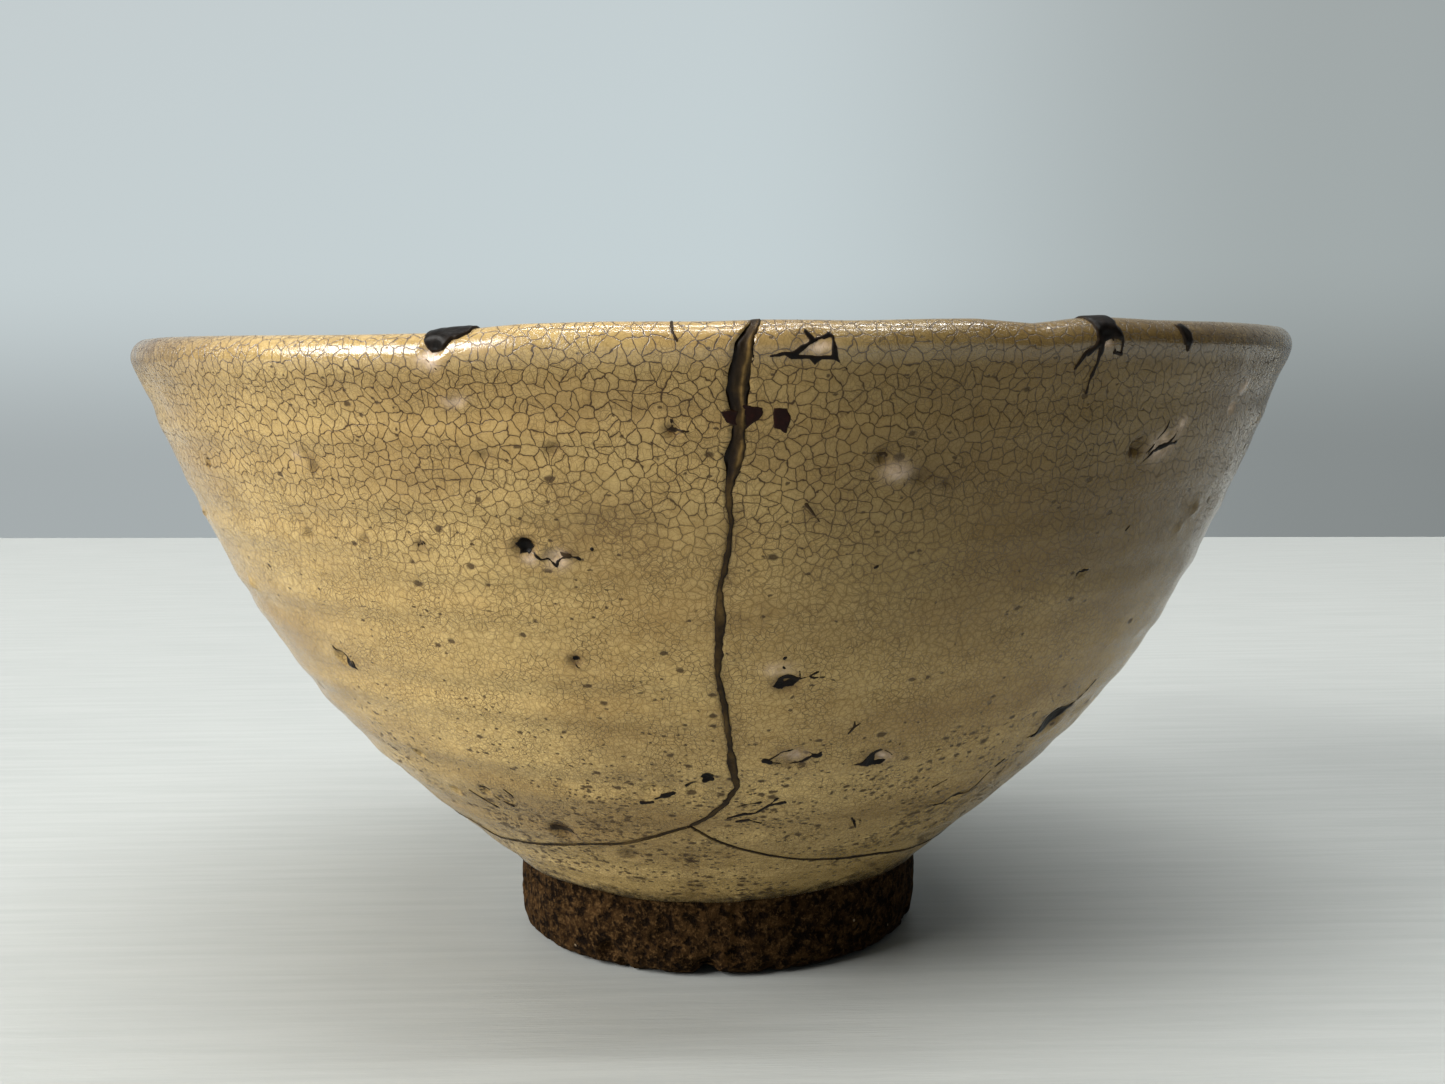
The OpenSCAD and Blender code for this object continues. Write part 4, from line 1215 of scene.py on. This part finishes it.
glaze, clay, base_skin, seam_lacquer = glaze_finish(), clay_finish(), base_finish(), seam_finish()
black_lacquer = fill_finish("black_fill_lacquer", (0.003, 0.002, 0.0014), (0.009, 0.005, 0.003),
                            (0.06, 0.034, 0.012), 0.34)
red_lacquer = fill_finish("red_black_patch_lacquer", (0.009, 0.0016, 0.0008), (0.02, 0.004, 0.002),
                          (0.075, 0.03, 0.018), 0.4)

# %% Dress the pieces
wardrobe = [((left_sherd, right_sherd), (glaze, clay)), ((base,), (base_skin,)),
            ((front_seam, back_seam, left_ring, right_ring), (seam_lacquer,)),
            ((left_fill, right_fill, small_fill, star, bursts), (black_lacquer,)),
            ((patches,), (red_lacquer,))]
for piece, finishes in ((piece, finishes) for pieces, finishes in wardrobe for piece in pieces):
    for finish in finishes:
        piece.data.materials.append(finish)
    print(piece.name, "wears", ", ".join(f.name for f in finishes))

# %% [markdown]
# ## The table and the light
#
# The bowl stands on a pale, white-washed board in soft daylight: one broad window on the left, a
# little in front, a weaker glow from above, and a pale grey-blue room behind. Two long tubes under
# the ceiling draw thin highlights along the lip. The right side gets little more than what the room
# and the board throw back, so the bowl turns from bright to dark across its front, and painted shade
# in the glaze's colour darkens the upper right further.

# %% The board
def board():
    corners = [(-0.9, -1.4, 0), (0.9, -1.4, 0), (0.9, 0.3855, 0), (-0.9, 0.5795, 0)]
    thick = [(x, y, -0.02) for x, y, _ in corners]
    mesh = bpy.data.meshes.new("pale_board")
    sides = [(0, 4, 5, 1), (1, 5, 6, 2), (2, 6, 7, 3), (3, 7, 4, 0)]
    mesh.from_pydata(corners + thick, [], [(0, 1, 2, 3), (7, 6, 5, 4), *sides])
    piece = bpy.data.objects.new("pale_board", mesh)
    bpy.context.scene.collection.objects.link(piece)
    tree = Tree("whitewashed_board")
    place = tree.place()
    streak = tree.grain(tree.stretched(place, 3.0, 60.0, 3.0), 8.0, 6.0, 0.6)
    pores = tree.grain(tree.stretched(place, 8.0, 90.0, 8.0), 22.0, 4.0, 0.7)
    wash = tree.blend(tree.step(streak, 0.3, 0.7), colour(0.35, 0.365, 0.357), colour(0.392, 0.408, 0.398))
    wash = tree.blend(tree.step(pores, 0.55, 0.75, 0.0, 0.35), wash, colour(0.36, 0.37, 0.36))
    bump = tree.add("Bump", Strength=0.25, Distance=0.0003, Height=pores)
    mesh.materials.append(tree.finish(Base_Color=wash, Roughness=0.55, Normal=bump))
    return piece


board()

# %% The room: darker low down, on the right and on the near side
world = bpy.data.worlds.new("pale_room")
bpy.context.scene.world = world
world.use_nodes = True
nodes, links = world.node_tree.nodes, world.node_tree.links
nodes.clear()
coords = nodes.new("ShaderNodeTexCoord")
parts = nodes.new("ShaderNodeSeparateXYZ")
links.new(coords.outputs["Generated"], parts.inputs[0])


def room_ramp(source, stops):
    made = nodes.new("ShaderNodeValToRGB")
    made.color_ramp.interpolation = "EASE"
    while len(made.color_ramp.elements) < len(stops):
        made.color_ramp.elements.new(0.5)
    for element, (at, tone) in zip(made.color_ramp.elements, stops):
        element.position, element.color = at, (*tone, 1)
    scaled = nodes.new("ShaderNodeMapRange")
    scaled.inputs[1].default_value, scaled.inputs[2].default_value = -1, 1
    links.new(parts.outputs[source], scaled.inputs[0])
    links.new(scaled.outputs[0], made.inputs[0])
    return made.outputs[0]


across = room_ramp(0, [(0.0, (0.5, 0.5, 0.5)), (0.25, (0.9, 0.9, 0.9)), (0.5, (0.90, 0.92, 0.93)),
                       (0.68, (0.58, 0.58, 0.57)), (0.8, (0.45, 0.45, 0.45)), (1.0, (0.12, 0.12, 0.12))])
upward = room_ramp(2, [(0.0, (0.30, 0.30, 0.29)), (0.47, (0.42, 0.46, 0.47)), (0.53, (0.62, 0.69, 0.705)),
                       (0.75, (0.60, 0.64, 0.65)), (1.0, (0.45, 0.46, 0.46))])
depth = room_ramp(1, [(0.0, (0.30, 0.29, 0.28)), (0.5, (0.3, 0.3, 0.3)), (0.72, (1.0, 1.0, 1.0)),
                      (1.0, (1.0, 1.0, 1.0))])


def multiplied(a, b):
    made = nodes.new("ShaderNodeMix")
    made.data_type, made.blend_type = "RGBA", "MULTIPLY"
    made.inputs[0].default_value = 1.0
    links.new(a, made.inputs[6])
    links.new(b, made.inputs[7])
    return made.outputs[2]


glow = nodes.new("ShaderNodeBackground")
links.new(multiplied(multiplied(across, upward), depth), glow.inputs[0])
room_out = nodes.new("ShaderNodeOutputWorld")
links.new(glow.outputs[0], room_out.inputs[0])


# %% The window, the ceiling and its tubes
def window(name, at, towards, wide, tall, watts, tone):
    lamp = bpy.data.lights.new(name, "AREA")
    lamp.shape, lamp.size, lamp.size_y, lamp.energy, lamp.color = "RECTANGLE", wide, tall, watts, tone
    made = bpy.data.objects.new(name, lamp)
    made.location = at
    made.rotation_euler = (Vector(towards) - Vector(at)).to_track_quat("-Z", "Y").to_euler()
    bpy.context.scene.collection.objects.link(made)
    return made


window("left_window", (-2.0, -0.84, 1.2), (0, 0, 0.05), 1.5, 1.15, 104.0, (1.0, 0.985, 0.95))
window("ceiling_glow", (0.1, -0.2, 2.1), (0, 0, 0.05), 2.2, 2.2, 6.0, (0.97, 1.0, 1.0))
window("ceiling_tube_back", (0.2, 0.35, 2.0), (0.2, 0.35, 0), 2.0, 0.1, 24.0, (1.0, 1.0, 0.98))
window("ceiling_tube_front", (0.2, -0.65, 2.0), (0.2, -0.65, 0), 2.0, 0.1, 24.0, (1.0, 1.0, 0.98))

# %% [markdown]
# ## The camera
#
# A small camera held just below the rim's level, a hand's length from the bowl, makes the wall loom
# over the small foot. It looks down a few degrees and leans by less than one.

# %% Place the camera
lens = bpy.data.cameras.new("hand_held")
lens.lens, lens.sensor_width = 39.86, 36.0
lens.clip_start = 0.01
camera = bpy.data.objects.new("hand_held", lens)
pitch, yaw, roll = math.radians(6.44), math.radians(0.304), math.radians(-0.69)
camera.matrix_world = Matrix.Translation((0, -0.2215, 0.0774)) @ Matrix.Rotation(-yaw, 4, "Z") \
    @ Matrix.Rotation(math.pi / 2 - pitch, 4, "X") @ Matrix.Rotation(roll, 4, "Z")
bpy.context.scene.collection.objects.link(camera)
bpy.context.scene.camera = camera
bpy.context.scene.view_settings.view_transform = "Standard"
